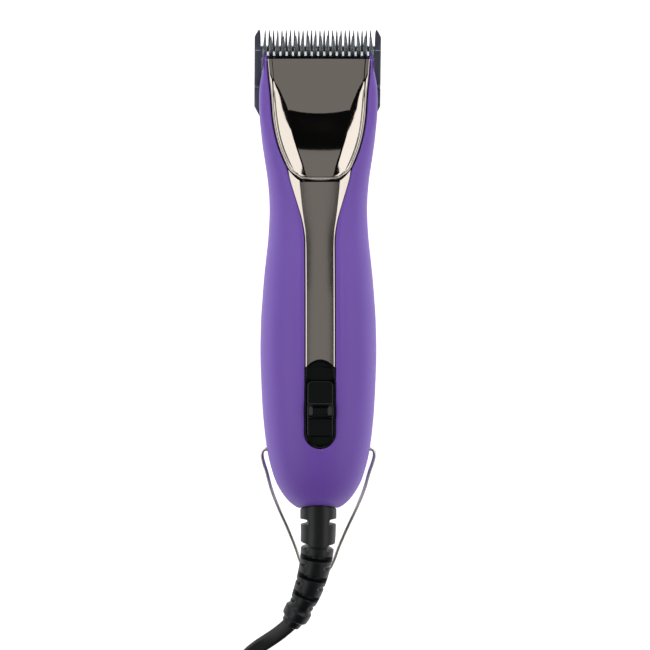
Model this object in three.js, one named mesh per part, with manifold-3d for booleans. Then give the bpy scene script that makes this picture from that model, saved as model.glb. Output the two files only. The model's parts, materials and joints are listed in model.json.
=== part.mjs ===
// Corded pet clipper with a detachable blade set, lying on its back.
// Millimetres. +Y points to the blade, +Z up through the switch side, X across.
// Inside this file Y is counted from the tail end of the housing; the outer
// group moves the whole assembly so that the origin is under its middle.
import * as THREE from 'three';
import { mergeVertices } from 'three/addons/utils/BufferGeometryUtils.js';
import Module from 'manifold-3d';

const wasm = await Module();
wasm.setup();

// ---------- driving dimensions ----------
const MID_Y = 69.66;            // middle of the object's length, from the tail end
const SPLIT_Z = 20;            // height of the parting plane of the two housings
const GAP = 0.3;               // face to face gap between neighbouring pieces
const WALL = 2.2;              // housing wall
const TOP_WALL = 4.6;          // housing wall under the centre strip
const FRONT_Y = 175.4;         // front edge of the head
const BLADE_TILT = THREE.MathUtils.degToRad(15);
const PIN_Y = 151, PIN_Z = 8;  // blade hinge pin
const HEAD_FLOOR = 3.3;        // head's slanted underside over the pin, along its normal
const COMB_HALF = 24.75, COMB_END = 36.4, COMB_HEEL = 2.0;
const CUTTER_HALF = 22;
const COMB_TEETH = 26, COMB_PITCH = 1.65, CUTTER_PITCH = 2.45;
const MOTOR_Z = 17, MOTOR_R = 14;
const GEAR_Y = 128, PIVOT_Y = 147, CRANK = 1.25;
const BAIL_Y = 23, WIRE_R = 0.75;
const CORD_R = 2.5;
const HANK_X = -6.3, HANK_R = 29.2, HANK_Y0 = -95.2, HANK_Y1 = -170.2;
const HANK_Z0 = 1.1, HANK_Z1 = 19.7;

// half width of the housing
const WIDTH = [[0, 7.8], [1.2, 9.75], [3.1, 11.9], [7, 14.8], [10.9, 16.8], [14.8, 17.9], [18.7, 19.1], [22.6, 20],
  [26.5, 20.5], [30.4, 20.9], [38.2, 21.6], [49.9, 22.2], [57.7, 22.6], [65.5, 22.6], [73.3, 22.4], [81.1, 21.8],
  [88.9, 21.3], [96.7, 20.5], [104.5, 19.5], [112.3, 19.1], [116.2, 18.9], [120.1, 19.1], [127.9, 19.7], [135.7, 20.9],
  [143.5, 22], [147.4, 22.4], [151.3, 22.8], [157.4, 23.1], [162.8, 23], [166.8, 22.5], [170.8, 21.6], [175.4, 20.9]];
// height of the crown over the parting plane
const CROWN = [[0, 6.6], [1.2, 8.4], [3.1, 10.4], [7, 13.3], [10.9, 15.5], [14.8, 17.1], [18.7, 18.3], [22.6, 19.3],
  [30.4, 20.7], [38.2, 21.6], [49.9, 22.4], [65.5, 22.6], [81.1, 21.9], [96.7, 20], [108.4, 18.3], [116.2, 17.5],
  [124, 17], [127, 16.9], [131.8, 16.5], [139.6, 15.1], [145, 13.4], [150, 11.2], [153.3, 9.9], [160, 8.6], [168, 6.5], [175.4, 4]];
// depth of the belly under the parting plane
const BELLY = [[0, 6.6], [1.2, 8.4], [3.1, 10.4], [7, 13.2], [10.9, 15.3], [14.8, 17], [18.7, 18.2], [22.6, 19.2],
  [30.4, 20.4], [38.2, 20.7], [81.1, 20.7], [92, 20.2], [104.5, 18.9], [116.2, 17.6], [127.9, 16.4], [139.6, 15.3], [151.3, 14.6], [175.4, 13]];
// squareness of the cross section
const SQUARE = [[0, 2.1], [60, 2.35], [120, 2.4], [140, 2.8], [157, 3.4], [175.4, 3.6]];
// half width of the nose cap and of the centre strip
const CAP = [[126.9, 6.6], [127.4, 7.8], [129, 9.8], [131.4, 11.8], [135.7, 13.9], [140.5, 15.6], [146.2, 17.2], [153, 18.1], [159.9, 18.7], [168, 19.3], [175.4, 19.9]];
const STRIP = [[58.2, 5.85], [103.4, 5.85], [107.5, 6.2], [111.5, 6.85], [117, 8.35], [122, 9.6], [126.3, 10.6]];

// ---------- helpers ----------
function look(table, y) {
  if (y <= table[0][0]) return table[0][1];
  for (let i = 1; i < table.length; i++) {
    if (y <= table[i][0]) {
      const [a, va] = table[i - 1], [b, vb] = table[i];
      return va + (vb - va) * (y - a) / (b - a);
    }
  }
  return table[table.length - 1][1];
}

// surface height of the front housing over a point
function crown(x, y) {
  const a = look(WIDTH, y), n = look(SQUARE, y), h = look(CROWN, y);
  const t = Math.min(Math.abs(x) / a, 0.999);
  return SPLIT_Z + h * Math.pow(1 - Math.pow(t, n), 1 / n);
}

function solid(geometry) {
  let g = geometry.clone();
  g.deleteAttribute('normal');
  g.deleteAttribute('uv');
  g = mergeVertices(g, 1e-4);
  return new wasm.Manifold(new wasm.Mesh({
    numProp: 3,
    vertProperties: new Float32Array(g.attributes.position.array),
    triVerts: new Uint32Array(g.index.array),
  }));
}

function geometryOf(manifold) {
  const m = manifold.getMesh();
  const g = new THREE.BufferGeometry();
  g.setAttribute('position', new THREE.BufferAttribute(new Float32Array(m.vertProperties), 3));
  g.setIndex(new THREE.BufferAttribute(new Uint32Array(m.triVerts), 1));
  g.computeVertexNormals();
  return g;
}

function box(x0, x1, y0, y1, z0, z1) {
  return new THREE.BoxGeometry(x1 - x0, y1 - y0, z1 - z0).translate((x0 + x1) / 2, (y0 + y1) / 2, (z0 + z1) / 2);
}
function rodX(r, x0, x1, y, z, n = 20) {
  return new THREE.CylinderGeometry(r, r, x1 - x0, n).rotateZ(-Math.PI / 2).translate((x0 + x1) / 2, y, z);
}
function rodY(r, y0, y1, x, z, n = 24) {
  return new THREE.CylinderGeometry(r, r, y1 - y0, n).translate(x, (y0 + y1) / 2, z);
}
function rodZ(r, z0, z1, x, y, n = 24) {
  return new THREE.CylinderGeometry(r, r, z1 - z0, n).rotateX(Math.PI / 2).translate(x, y, (z0 + z1) / 2);
}
// a turned piece: profile of [radius, y] points, closed on itself
function turnedY(profile, x, z, n = 28) {
  const points = profile.map(([r, y]) => new THREE.Vector2(r, y));
  points.push(points[0].clone());
  return new THREE.LatheGeometry(points, n).translate(x, 0, z);
}
function prism(points, z0, z1) {
  const shape = new THREE.Shape(points.map(([x, y]) => new THREE.Vector2(x, y)));
  return new THREE.ExtrudeGeometry(shape, { depth: z1 - z0, bevelEnabled: false }).translate(0, 0, z0);
}
// an outline in the Y-Z plane, extruded across X
function slabX(points, x0, x1) {
  const shape = new THREE.Shape(points.map(([y, z]) => new THREE.Vector2(y, z)));
  const g = new THREE.ExtrudeGeometry(shape, { depth: x1 - x0, bevelEnabled: false });
  g.applyMatrix4(new THREE.Matrix4().set(0, 0, 1, x0, 1, 0, 0, 0, 0, 1, 0, 0, 0, 0, 0, 1));
  return g;
}
function loft(rings) {
  const n = rings[0].length, position = [], index = [];
  for (const ring of rings) for (const p of ring) position.push(...p);
  for (let i = 0; i + 1 < rings.length; i++) {
    for (let j = 0; j < n; j++) {
      const a = i * n + j, b = i * n + (j + 1) % n, c = a + n, d = b + n;
      index.push(a, b, d, a, d, c);
    }
  }
  for (const [k, flip] of [[0, true], [rings.length - 1, false]]) {
    const mid = [0, 1, 2].map((q) => rings[k].reduce((s, p) => s + p[q], 0) / n);
    const m = position.length / 3;
    position.push(...mid);
    for (let j = 0; j < n; j++) {
      const a = k * n + j, b = k * n + (j + 1) % n;
      if (flip) index.push(m, b, a); else index.push(m, a, b);
    }
  }
  const g = new THREE.BufferGeometry();
  g.setAttribute('position', new THREE.BufferAttribute(new Float32Array(position), 3));
  g.setIndex(index);
  g.computeVertexNormals();
  return volume(g) > 0 ? g : turnedOver(g);
}
function volume(g) {
  const p = g.attributes.position, ix = g.index.array;
  let v = 0;
  const a = new THREE.Vector3(), b = new THREE.Vector3(), c = new THREE.Vector3();
  for (let i = 0; i < ix.length; i += 3) {
    a.fromBufferAttribute(p, ix[i]); b.fromBufferAttribute(p, ix[i + 1]); c.fromBufferAttribute(p, ix[i + 2]);
    v += a.dot(b.cross(c));
  }
  return v;
}
function turnedOver(g) {
  const ix = Array.from(g.index.array);
  for (let i = 0; i < ix.length; i += 3) [ix[i + 1], ix[i + 2]] = [ix[i + 2], ix[i + 1]];
  g.setIndex(ix);
  g.computeVertexNormals();
  return g;
}
// a plate between two height functions over an outline of half width w(y)
function plate(ys, w, top, bottom, us) {
  const rings = ys.map((y) => {
    const up = us.map((u) => [u * w(y), y, top(u * w(y), y, u)]);
    const down = us.map((u) => [u * w(y), y, bottom(u * w(y), y, u)]).reverse();
    return up.concat(down);
  });
  return loft(rings);
}
function housingBody(ys, inX, inTop, inBelly, n) {
  return loft(ys.map((y) => {
    const a = look(WIDTH, y) - inX, t = look(CROWN, y) - look(inTop, y), b = look(BELLY, y) - inBelly, q = look(SQUARE, y);
    const ring = [];
    for (let j = 0; j < n; j++) {
      const th = 2 * Math.PI * j / n, c = Math.cos(th), s = Math.sin(th);
      ring.push([a * Math.sign(c) * Math.pow(Math.abs(c), 2 / q), y,
        SPLIT_Z + (s > 0 ? t : b) * Math.sign(s) * Math.pow(Math.abs(s), 2 / q)]);
    }
    return ring;
  }));
}
// a tube of varying radius along points, each [x, y, z, radius]
function sweep(points, n) {
  const up = new THREE.Vector3(0, 0, 1);
  return loft(points.map((p, i) => {
    const a = points[Math.max(i - 1, 0)], b = points[Math.min(i + 1, points.length - 1)];
    const t = new THREE.Vector3(b[0] - a[0], b[1] - a[1], b[2] - a[2]).normalize();
    const side = new THREE.Vector3().crossVectors(t, up).normalize();
    const v = new THREE.Vector3().crossVectors(side, t);
    const ring = [];
    for (let j = 0; j < n; j++) {
      const th = 2 * Math.PI * j / n;
      ring.push([0, 1, 2].map((k) => p[k] + p[3] * (side.getComponent(k) * Math.cos(th) + v.getComponent(k) * Math.sin(th))));
    }
    return ring;
  }));
}

// the blade set's own frame: y along the comb, z along its normal, zero at the hinge pin
const toBlade = new THREE.Matrix4().makeTranslation(0, PIN_Y, PIN_Z).multiply(new THREE.Matrix4().makeRotationX(BLADE_TILT));
const inBlade = (g) => g.clone().applyMatrix4(toBlade);

const clipper = new THREE.Group();
clipper.position.y = -MID_Y;
function add(name, shape, colour, roughness, metalness) {
  const g = shape.isBufferGeometry ? shape : geometryOf(shape);
  const mesh = new THREE.Mesh(g, new THREE.MeshStandardMaterial({ color: colour, roughness, metalness }));
  mesh.name = name;
  clipper.add(mesh);
}
const PURPLE = [0x7452a4, 0.5, 0], STEEL = [0x9aa0a4, 0.3, 1], DARK = [0x16191b, 0.5, 0], GUNMETAL = [0x6b655f, 0.18, 1];

// ---------- housings ----------
const stations = [0, 1.2, 3.1, 7, 10.9, 14.8, 18.7, 22.6, 30.4, 38.2, 49.9, 65.5, 81.1, 92, 104.5, 116.2, 127, 135.7, 143.5, 150, 157.4, 164, 170.8, FRONT_Y];
const outer = solid(housingBody(stations, 0, [[0, 0]], 0, 44));
const inner = solid(housingBody([2.4, 5, 8, 12, 16, 21, 30.4, 49.9, 70, 92, 104.5, 116.2, 127, 136, 146, 157, 166, 172.8], WALL, [[20, WALL], [44, TOP_WALL]], WALL, 28));
const pocket = solid(box(-40, 40, -12.6, 60, -60, HEAD_FLOOR).applyMatrix4(toBlade));
const pocketRoom = solid(box(-40, 40, -14.8, 60, -60, HEAD_FLOOR + WALL).applyMatrix4(toBlade));
const table = solid(box(-60, 60, -20, 200, -30, 0));
const shell = outer.subtract(table).subtract(pocket).subtract(inner.subtract(pocketRoom));
let front = shell.subtract(solid(box(-60, 60, -20, 200, -30, SPLIT_Z + GAP / 2)));
let rear = shell.subtract(solid(box(-60, 60, -20, 200, SPLIT_Z - GAP / 2, 90)));

// room for the nose cap, the strip and the switch in the front housing
const capYs = CAP.map((c) => c[0]);
const capRoomYs = [126.5, ...capYs.slice(1), 190];
front = front.subtract(solid(plate(capRoomYs, (y) => look(CAP, y) + 0.45, () => 70, () => SPLIT_Z, [-1, 0, 1])));
const stripYs = [52, 58.2, 65.5, 81.1, 92, 103.4, 107.5, 111.5, 117, 122, 127.5];
front = front.subtract(solid(plate(stripYs, (y) => look(STRIP, y) + 0.4, () => 70, (x, y) => crown(0, y) - 2.4, [-1, 0, 1])));
const wellOutline = (g) => {
  const p = [], r = 5.68 + g;
  for (let i = 0; i <= 12; i++) { const th = Math.PI + Math.PI * i / 12; p.push([r * Math.cos(th), 29.5 + r * Math.sin(th)]); }
  for (let i = 0; i <= 6; i++) { const x = r - 2 * r * i / 6; p.push([x, 58 + g - 3.1 * (x / 5.68) ** 2]); }
  return p;
};
front = front.subtract(solid(prism(wellOutline(GAP), SPLIT_Z + 8, 60)));
// side holes of the hanging bail, hole of the strain relief
const bailHoles = solid(rodX(WIRE_R + GAP, 14, 26, BAIL_Y, SPLIT_Z, 12)).add(solid(rodX(WIRE_R + GAP, -26, -14, BAIL_Y, SPLIT_Z, 12)));
const tailHole = solid(rodY(6.5, -5, 3.5, 0, SPLIT_Z, 24));
front = front.subtract(bailHoles).subtract(tailHole);
rear = rear.subtract(bailHoles).subtract(tailHole);
// lever opening, bracket screw holes, latch notch, air intake and housing screws in the rear housing
rear = rear.subtract(solid(box(-5.5, 5.5, 11, 21.5, HEAD_FLOOR - 1, HEAD_FLOOR + 12).applyMatrix4(toBlade)));
for (const x of [-6.3, 6.3]) rear = rear.subtract(solid(rodZ(1.4, HEAD_FLOOR - 2, HEAD_FLOOR + 4, x, -9, 12).applyMatrix4(toBlade)));
rear = rear.subtract(solid(box(-5.9, 5.9, 124.2, 142, -5, 9.3)));
rear = rear.subtract(solid(prism([[-9, 97], [9, 97], [9, 113], [-9, 113]], -5, 8)));
for (const [x, y] of [[-12, 20], [12, 20], [-12, 120], [12, 120]]) {
  const post = solid(rodZ(3, 3, 19.4, x, y, 14));
  rear = rear.add(post.intersect(outer)).subtract(solid(rodZ(1.5, -5, 30, x, y, 12))).subtract(solid(rodZ(2.9, -5, y < 50 ? 7 : 7.5, x, y, 14)));
}
add('front_housing', front, ...PURPLE);
add('rear_housing', rear, ...PURPLE);

for (const [k, x, y] of [['a', -12, 20], ['b', 12, 20], ['c', -12, 120], ['d', 12, 120]]) {
  const z0 = y < 50 ? 6.7 : 7.2;
  const s = solid(rodZ(2.5, z0 - 2.2, z0, x, y, 14)).add(solid(rodZ(1.15, z0 - 0.5, 19.2, x, y, 12)))
    .subtract(solid(box(x - 1.5, x + 1.5, y - 0.35, y + 0.35, z0 - 4, z0 - 1.5))).subtract(solid(box(x - 0.35, x + 0.35, y - 1.5, y + 1.5, z0 - 4, z0 - 1.5)));
  add('housing_screw_' + k, s, ...STEEL);
}

// air intake screen: a slotted plate flush with the belly
let screen = solid(prism([[-8.7, 97.3], [8.7, 97.3], [8.7, 112.7], [-8.7, 112.7]], 1.4, 4.6))
  .intersect(solid(housingBody(stations, 0.3, [[0, 0.3]], 0.5, 44)));
for (let i = 0; i < 5; i++) screen = screen.subtract(solid(box(-6.8, 6.8, 98.8 + i * 2.7, 100.3 + i * 2.7, -5, 9)));
add('intake_screen', screen, ...DARK);

// ---------- nose cap, strip ----------
const capUs = [-1, -0.93, -0.8, -0.5, -0.2, 0.2, 0.5, 0.8, 0.93, 1];
const capRows = [126.9, 127.4, 129, 131.4, 135.7, 140.5, 145, 150, 153.3, 160, 168, 173.3, 173.7, FRONT_Y];
add('nose_cap', plate(capRows, (y) => look(CAP, y), (x, y) => crown(x, y) + 0.5,
  (x, y, u) => (y > 173.5 ? SPLIT_Z + 0.45 : Math.max(crown(x, y) - (Math.abs(u) > 0.9 ? 3.6 : 1.5), SPLIT_Z + 0.45)), capUs), ...GUNMETAL);
{
  const ys = [55.2, ...stripYs.slice(1, -1), 126.2];
  let strip = solid(plate(ys, (y) => look(STRIP, y),
    (x, y, u) => (Math.abs(u) > 0.95 ? crown(0, y) - 1.1 : crown(0, y) - 0.1), (x, y) => crown(0, y) - 2.0, [-1, -0.8, 0, 0.8, 1]));
  const arc = [];
  for (let i = 0; i <= 8; i++) { const x = -7 + 14 * i / 8; arc.push([x, 58.3 - 3.1 * (x / 5.68) ** 2]); }
  strip = strip.subtract(solid(prism([[-7, 40], [7, 40], ...arc.reverse()], 20, 70)));
  add('centre_strip', strip, ...GUNMETAL);
}

// ---------- switch ----------
{
  const ys = [], base = solid(prism(wellOutline(0), 30, 60));
  for (let y = 22; y <= 60; y += 4) ys.push(y);
  let bezel = base.intersect(solid(plate(ys, () => 9, (x, y) => crown(0, y) - 2.8, (x, y) => crown(0, y) - 5.2, [-1, 0, 1])));
  bezel = bezel.subtract(solid(box(-2.1, 2.1, 34, 48.5, 20, 70)));
  add('switch_bezel', bezel, ...DARK);
  const h = (y) => crown(0, y);
  const side = [[27.9, h(28) - 1.45], [49.9, h(50) - 1.75], [49.9, h(50) + 0.1], [48.9, h(49) + 0.8], [42.0, h(42) + 0.5], [41.4, h(41) + 1.7],
    [40.2, h(40) + 1.9], [37.0, h(37) + 1.9], [36.0, h(36) + 1.7], [35.4, h(35) + 0.5], [28.9, h(29) + 0.8], [27.9, h(28) + 0.1]];
  add('switch_slider', solid(slabX(side, -5.03, 5.03)).add(solid(box(-1.6, 1.6, 36, 41, 33.4, 41))), ...DARK);
  add('switch_body', solid(box(-5.5, 5.5, 28.5, 41.6, 20.5, 32.9)).add(solid(box(-4, -2.6, 30, 31, 16, 21))).add(solid(box(2.6, 4, 30, 31, 16, 21))), 0x2b2f33, 0.5, 0);
  const board = solid(box(-8.5, 8.5, 11.5, 27, 11.8, 13.4)).add(solid(rodZ(2.8, 13, 19, -6, 17, 16))).add(solid(box(1, 8, 14, 20, 13, 16.5))).add(solid(box(-3, 3, 22.5, 25.5, 13, 15.4)));
  add('circuit_board', board, 0x2c6b3f, 0.6, 0);
  add('cord_clamp', solid(box(-7, 7, 6.2, 9.2, 15.5, 24.5)).subtract(solid(rodY(2.9, 5, 10, 0, SPLIT_Z, 16))), ...DARK);
}

// ---------- motor and drive ----------
add('motor_can', turnedY([[MOTOR_R, 46], [MOTOR_R, 95], [4.2, 95], [4.2, 93.5], [12.8, 93.5], [12.8, 46]], 0, MOTOR_Z, 32), ...STEEL);
add('motor_end_cap', turnedY([[4.2, 42.5], [13.6, 42.5], [13.6, 45.7], [4.2, 45.7]], 0, MOTOR_Z, 28), 0x222426, 0.6, 0);
{
  for (const [k, turn] of [['right', 0], ['left', Math.PI]]) {
    const p = [];
    for (let i = 0; i <= 10; i++) { const t = turn - 1.05 + 2.1 * i / 10; p.push([12.5 * Math.cos(t), 12.5 * Math.sin(t)]); }
    for (let i = 10; i >= 0; i--) { const t = turn - 1.05 + 2.1 * i / 10; p.push([10.4 * Math.cos(t), 10.4 * Math.sin(t)]); }
    const g = prism(p, 0, 32).rotateX(-Math.PI / 2).translate(0, 54, MOTOR_Z);
    add('motor_magnet_' + k, solid(g), 0x3a3a3c, 0.7, 0.2);
  }
  add('motor_brush_right', box(4.9, 10.6, 48.4, 51.6, MOTOR_Z - 1.6, MOTOR_Z + 1.6), 0x202020, 0.9, 0);
  add('motor_brush_left', box(-10.6, -4.9, 48.4, 51.6, MOTOR_Z - 1.6, MOTOR_Z + 1.6), 0x202020, 0.9, 0);
  add('bearing_rear', turnedY([[1.9, 42.5], [3.9, 42.5], [3.9, 45.5], [1.9, 45.5]], 0, MOTOR_Z, 20), ...STEEL);
  add('bearing_front', turnedY([[1.9, 92.6], [3.9, 92.6], [3.9, 95.6], [1.9, 95.6]], 0, MOTOR_Z, 20), ...STEEL);
  add('armature_shaft', rodY(1.6, 41, 119.6, 0, MOTOR_Z, 16), ...STEEL);
  const core = [];
  for (let i = 0; i < 30; i++) { const t = 2 * Math.PI * i / 30; const r = i % 6 === 0 ? 6.5 : 9.6; core.push([r * Math.cos(t), r * Math.sin(t)]); }
  add('armature_core', solid(prism(core, 0, 24).rotateX(-Math.PI / 2).translate(0, 58, MOTOR_Z))
    .add(solid(rodY(7.2, 55, 85, 0, MOTOR_Z, 20))).subtract(solid(rodY(1.9, 50, 90, 0, MOTOR_Z, 16))), 0x8a5a30, 0.5, 0.6);
  add('commutator', turnedY([[1.9, 47.6], [4.5, 47.6], [4.5, 53.4], [1.9, 53.4]], 0, MOTOR_Z, 20), 0xb06a3c, 0.4, 1);
  let fan = solid(rodY(3.6, 97, 101.5, 0, MOTOR_Z, 20)).add(solid(rodY(11.6, 97, 97.8, 0, MOTOR_Z, 28)));
  for (let i = 0; i < 9; i++) {
    fan = fan.add(solid(box(3, 11.2, 97.4, 101.5, -0.45, 0.45).rotateY(2 * Math.PI * i / 9).translate(0, 0, MOTOR_Z)));
  }
  add('cooling_fan', fan.subtract(solid(rodY(1.9, 90, 110, 0, MOTOR_Z, 16))), 0xe8e4da, 0.5, 0);
  let pinion = solid(rodY(2.9, 113, 119, 0, MOTOR_Z, 16));
  for (let i = 0; i < 8; i++) pinion = pinion.add(solid(box(-0.3, 0.3, 113, 119, 2.5, 3.85).rotateY(2 * Math.PI * i / 8).translate(0, 0, MOTOR_Z)));
  add('drive_pinion', pinion.subtract(solid(rodY(1.9, 110, 121, 0, MOTOR_Z, 16))), 0xc8b070, 0.4, 1);

  // crank gear: a disc with face teeth that the pinion turns, 32 teeth to its 8
  let gear = solid(rodZ(13.4, 21.5, 23.4, 0, GEAR_Y, 48)).add(solid(rodZ(1.1, 23, 26.6, CRANK, GEAR_Y, 16)));
  for (let i = 0; i < 32; i++) {
    gear = gear.add(solid(box(10.4, 13.2, -0.32, 0.32, 20.2, 22).rotateZ(2 * Math.PI * (i + 0.5) / 32).translate(0, GEAR_Y, 0)));
  }
  gear = gear.subtract(solid(rodZ(1.8, 15, 22.9, 0, GEAR_Y, 16)));
  add('crank_gear', gear, 0xe9e2cc, 0.5, 0);
  const ring = new THREE.Shape().absarc(0, 0, 2.2, 0, 2 * Math.PI);
  ring.holes.push(new THREE.Path().absarc(0, 0, 1.4, 0, 2 * Math.PI, true));
  add('crank_roller', new THREE.ExtrudeGeometry(ring, { depth: 2.3, bevelEnabled: false, curveSegments: 10 }).translate(CRANK, GEAR_Y, 23.8), ...STEEL);

  const frame = solid(prism([[-8, 121.8], [8, 121.8], [8.5, 124.2], [13, 126], [13, 150], [9, 157.5], [-9, 157.5], [-13, 150], [-13, 126], [-8.5, 124.2]], 15.9, 17.3));
  add('drive_frame', frame.subtract(solid(rodZ(1.3, 10, 20, 0, GEAR_Y, 16))).subtract(solid(rodZ(1.3, 10, 20, 0, PIVOT_Y, 16)))
    .subtract(solid(box(-4, 4, 133, 142, 10, 20))), ...STEEL);
  add('gear_axle', solid(rodZ(1.5, 17.6, 22.6, 0, GEAR_Y, 16)).add(solid(rodZ(1.0, 15.6, 18, 0, GEAR_Y, 12))), ...STEEL);
  add('lever_pivot_pin', solid(rodZ(1.6, 17.6, 27.2, 0, PIVOT_Y, 16)).add(solid(rodZ(1.0, 15.6, 18, 0, PIVOT_Y, 12))), ...STEEL);

  // drive lever: fork round the crank roller, hub on its pin, arm and tip to the cutter
  const lever2d = [[-6.9, 124.5], [-5.0, 124.5], [-5.0, 133.2], [5.0, 133.2], [5.0, 124.5], [6.9, 124.5], [6.9, 135], [3, 137.5], [3.4, 150.5], [2.6, 151], [-2.6, 151], [-3.4, 150.5], [-3, 137.5], [-6.9, 135]];
  let lever = solid(prism(lever2d, 23.9, 26.1)).add(solid(rodZ(4.2, 23.9, 26.8, 0, PIVOT_Y, 24)));
  lever = lever.add(solid(slabX([[149.5, 23.9], [153, 21.0], [169.2, 17.9], [169.2, 20.4], [153, 23.4], [150.5, 26.1], [149.5, 26.1]], -2.6, 2.6)));
  lever = lever.add(solid(slabX([[165.6, 20], [165.6, 12.1], [168.2, 12.1], [169.2, 18.6]], -1.4, 1.4)));
  add('drive_lever', lever.subtract(solid(rodZ(1.9, 20, 30, 0, PIVOT_Y, 16))), ...STEEL);
}

// ---------- hinge and latch ----------
{
  const b = (g) => solid(inBlade(g));
  let bracket = b(box(-9, 9, -12.4, -4.4, 1.3, 3.0));
  for (const [x0, x1] of [[-7.9, -5.9], [5.9, 7.9]]) {
    bracket = bracket.add(b(box(x0, x1, -5, 0, 0.2, 3.0))).add(b(box(x0, x1, -2, 2, 0, 2.4))).add(b(rodX(2, x0, x1, 0, 0, 20)));
  }
  bracket = bracket.subtract(b(rodX(1.3, -12, 12, 0, 0, 16)));
  for (const x of [-6.3, 6.3]) bracket = bracket.subtract(b(rodZ(1.4, 0.5, 4, x, -9, 12)));
  add('hinge_bracket', bracket, ...STEEL);
  for (const [k, x] of [['left', -6.3], ['right', 6.3]]) {
    const s = b(rodZ(2.1, -0.1, 1.0, x, -9, 14)).add(b(rodZ(1.1, 0.8, 7.5, x, -9, 12))).subtract(b(box(x - 1.7, x + 1.7, -9.35, -8.65, -1, 0.4)));
    add('hinge_screw_' + k, s, ...STEEL);
  }
  add('hinge_pin', inBlade(rodX(1.0, -8.6, 8.6, 0, 0, 16)), ...STEEL);
  const tongue = b(rodX(2.0, -5.5, 5.5, 0, 0, 20)).add(b(prism([[-5.3, 0.5], [5.3, 0.5], [5.3, 9], [3.6, 12], [-3.6, 12], [-5.3, 9]], -0.4, 0.6)))
    .add(b(box(-3, 3, -2.9, 0, -0.5, 0.6)));
  add('hinge_tongue', tongue.subtract(b(rodX(1.3, -12, 12, 0, 0, 16))), ...STEEL);

  // latch button: thumb pad under the head with a nose that reaches the tongue's tail
  let latch = b(box(-3, 3, -17, -3.3, -0.6, 0.7)).add(solid(box(-5.4, 5.4, 127.4, 136.2, 2.7, 6.4)));
  for (let i = 0; i < 3; i++) latch = latch.subtract(solid(box(-6, 6, 129.2 + i * 2.4, 130.2 + i * 2.4, 0, 3.4)));
  add('latch_button', latch, ...DARK);
  add('latch_spring', solid(box(-5.2, 5.2, 116.5, 123.4, 8.6, 9.0)).add(solid(box(-1.5, 1.5, 123, 123.7, 6.9, 9.0))), ...STEEL);
}

// ---------- blade set ----------
{
  const b = (g) => solid(inBlade(g));
  // comb: heel plate, side plates and teeth
  let comb = b(prism([[-24.75, 6], [-22.6, COMB_HEEL], [22.6, COMB_HEEL], [24.75, 6], [24.75, 28.6], [-24.75, 28.6]], -4.0, -1.6));
  for (const s of [-1, 1]) {
    const p = [[22.3, 28.2], [24.75, 28.2], [24.75, 33.6], [23.2, COMB_END], [22.3, COMB_END - 0.6]].map(([x, y]) => [s * x, y]);
    comb = comb.add(b(prism(s > 0 ? p : p.reverse(), -4.0, -1.9)));
  }
  for (let i = 0; i < COMB_TEETH; i++) {
    const x = (i - (COMB_TEETH - 1) / 2) * COMB_PITCH;
    const t = slabX([[28.2, -4.0], [COMB_END - 0.4, -3.3], [COMB_END, -2.7], [COMB_END - 0.4, -2.2], [28.2, -1.6]], x - 0.36, x + 0.36);
    comb = comb.add(b(t));
  }
  for (const x of [-12.6, 12.6]) comb = comb.subtract(b(rodZ(1.3, -6, 0, x, 7.5, 12))).subtract(b(rodZ(2.5, -6, -2.7, x, 7.5, 16)));
  add('blade_comb', comb, 0x50565c, 0.32, 1);

  let cutter = b(prism([[-CUTTER_HALF, 14.5], [-20.5, 13], [20.5, 13], [CUTTER_HALF, 14.5], [CUTTER_HALF, 28], [-CUTTER_HALF, 28]], -1.3, 1.4));
  for (let i = -9; i < 9; i++) {
    const x = (i + 0.5) * CUTTER_PITCH;
    cutter = cutter.add(b(slabX([[27.5, -1.3], [33.4, -1.3], [33.4, -0.8], [31, 0.9], [27.5, 1.4]], x - 0.62, x + 0.62)));
  }
  cutter = cutter.subtract(b(box(-1.95, 1.95, 10, 20, -3, 3)));
  add('blade_cutter', cutter, 0x8c9296, 0.28, 1);

  const channel = [[-15.4, -1.3], [15.4, -1.3], [15.4, 1.0], [8, 1.0], [8, 2.2], [3.6, 2.2], [3.6, 1.1], [5.8, 1.1], [5.8, -0.7],
    [-5.8, -0.7], [-5.8, 1.1], [-3.6, 1.1], [-3.6, 2.2], [-8, 2.2], [-8, 1.0], [-15.4, 1.0]];
  let socket = b(prism(channel, 0, 8).rotateX(Math.PI / 2).translate(0, 11.6, 0));
  for (const x of [-12.6, 12.6]) socket = socket.subtract(b(rodZ(1.3, -3, 3, x, 7.5, 12)));
  add('blade_socket', socket, ...STEEL);
  for (const [k, s] of [['left', -1], ['right', 1]]) {
    const p = [[10.4, 4.2], [15.0, 4.2], [15.0, 12], [18.5, 24], [16.6, 24.4], [12.6, 14], [10.4, 12]].map(([x, y]) => [s * x, y]);
    const leaf = b(prism(s > 0 ? p : p.reverse(), 1.75, 2.35)).subtract(b(rodZ(1.3, 0, 3, s * 12.6, 7.5, 12)));
    add('tension_spring_' + k, leaf, ...STEEL);
  }
  for (const [k, x] of [['left', -12.6], ['right', 12.6]]) {
    const s = b(rodZ(2.15, -4.0, -3.0, x, 7.5, 16)).add(b(rodZ(1.0, -3.2, 2.7, x, 7.5, 12))).subtract(b(box(x - 1.6, x + 1.6, 7.15, 7.85, -5, -3.6)));
    add('blade_screw_' + k, s, ...STEEL);
  }
}

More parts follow.
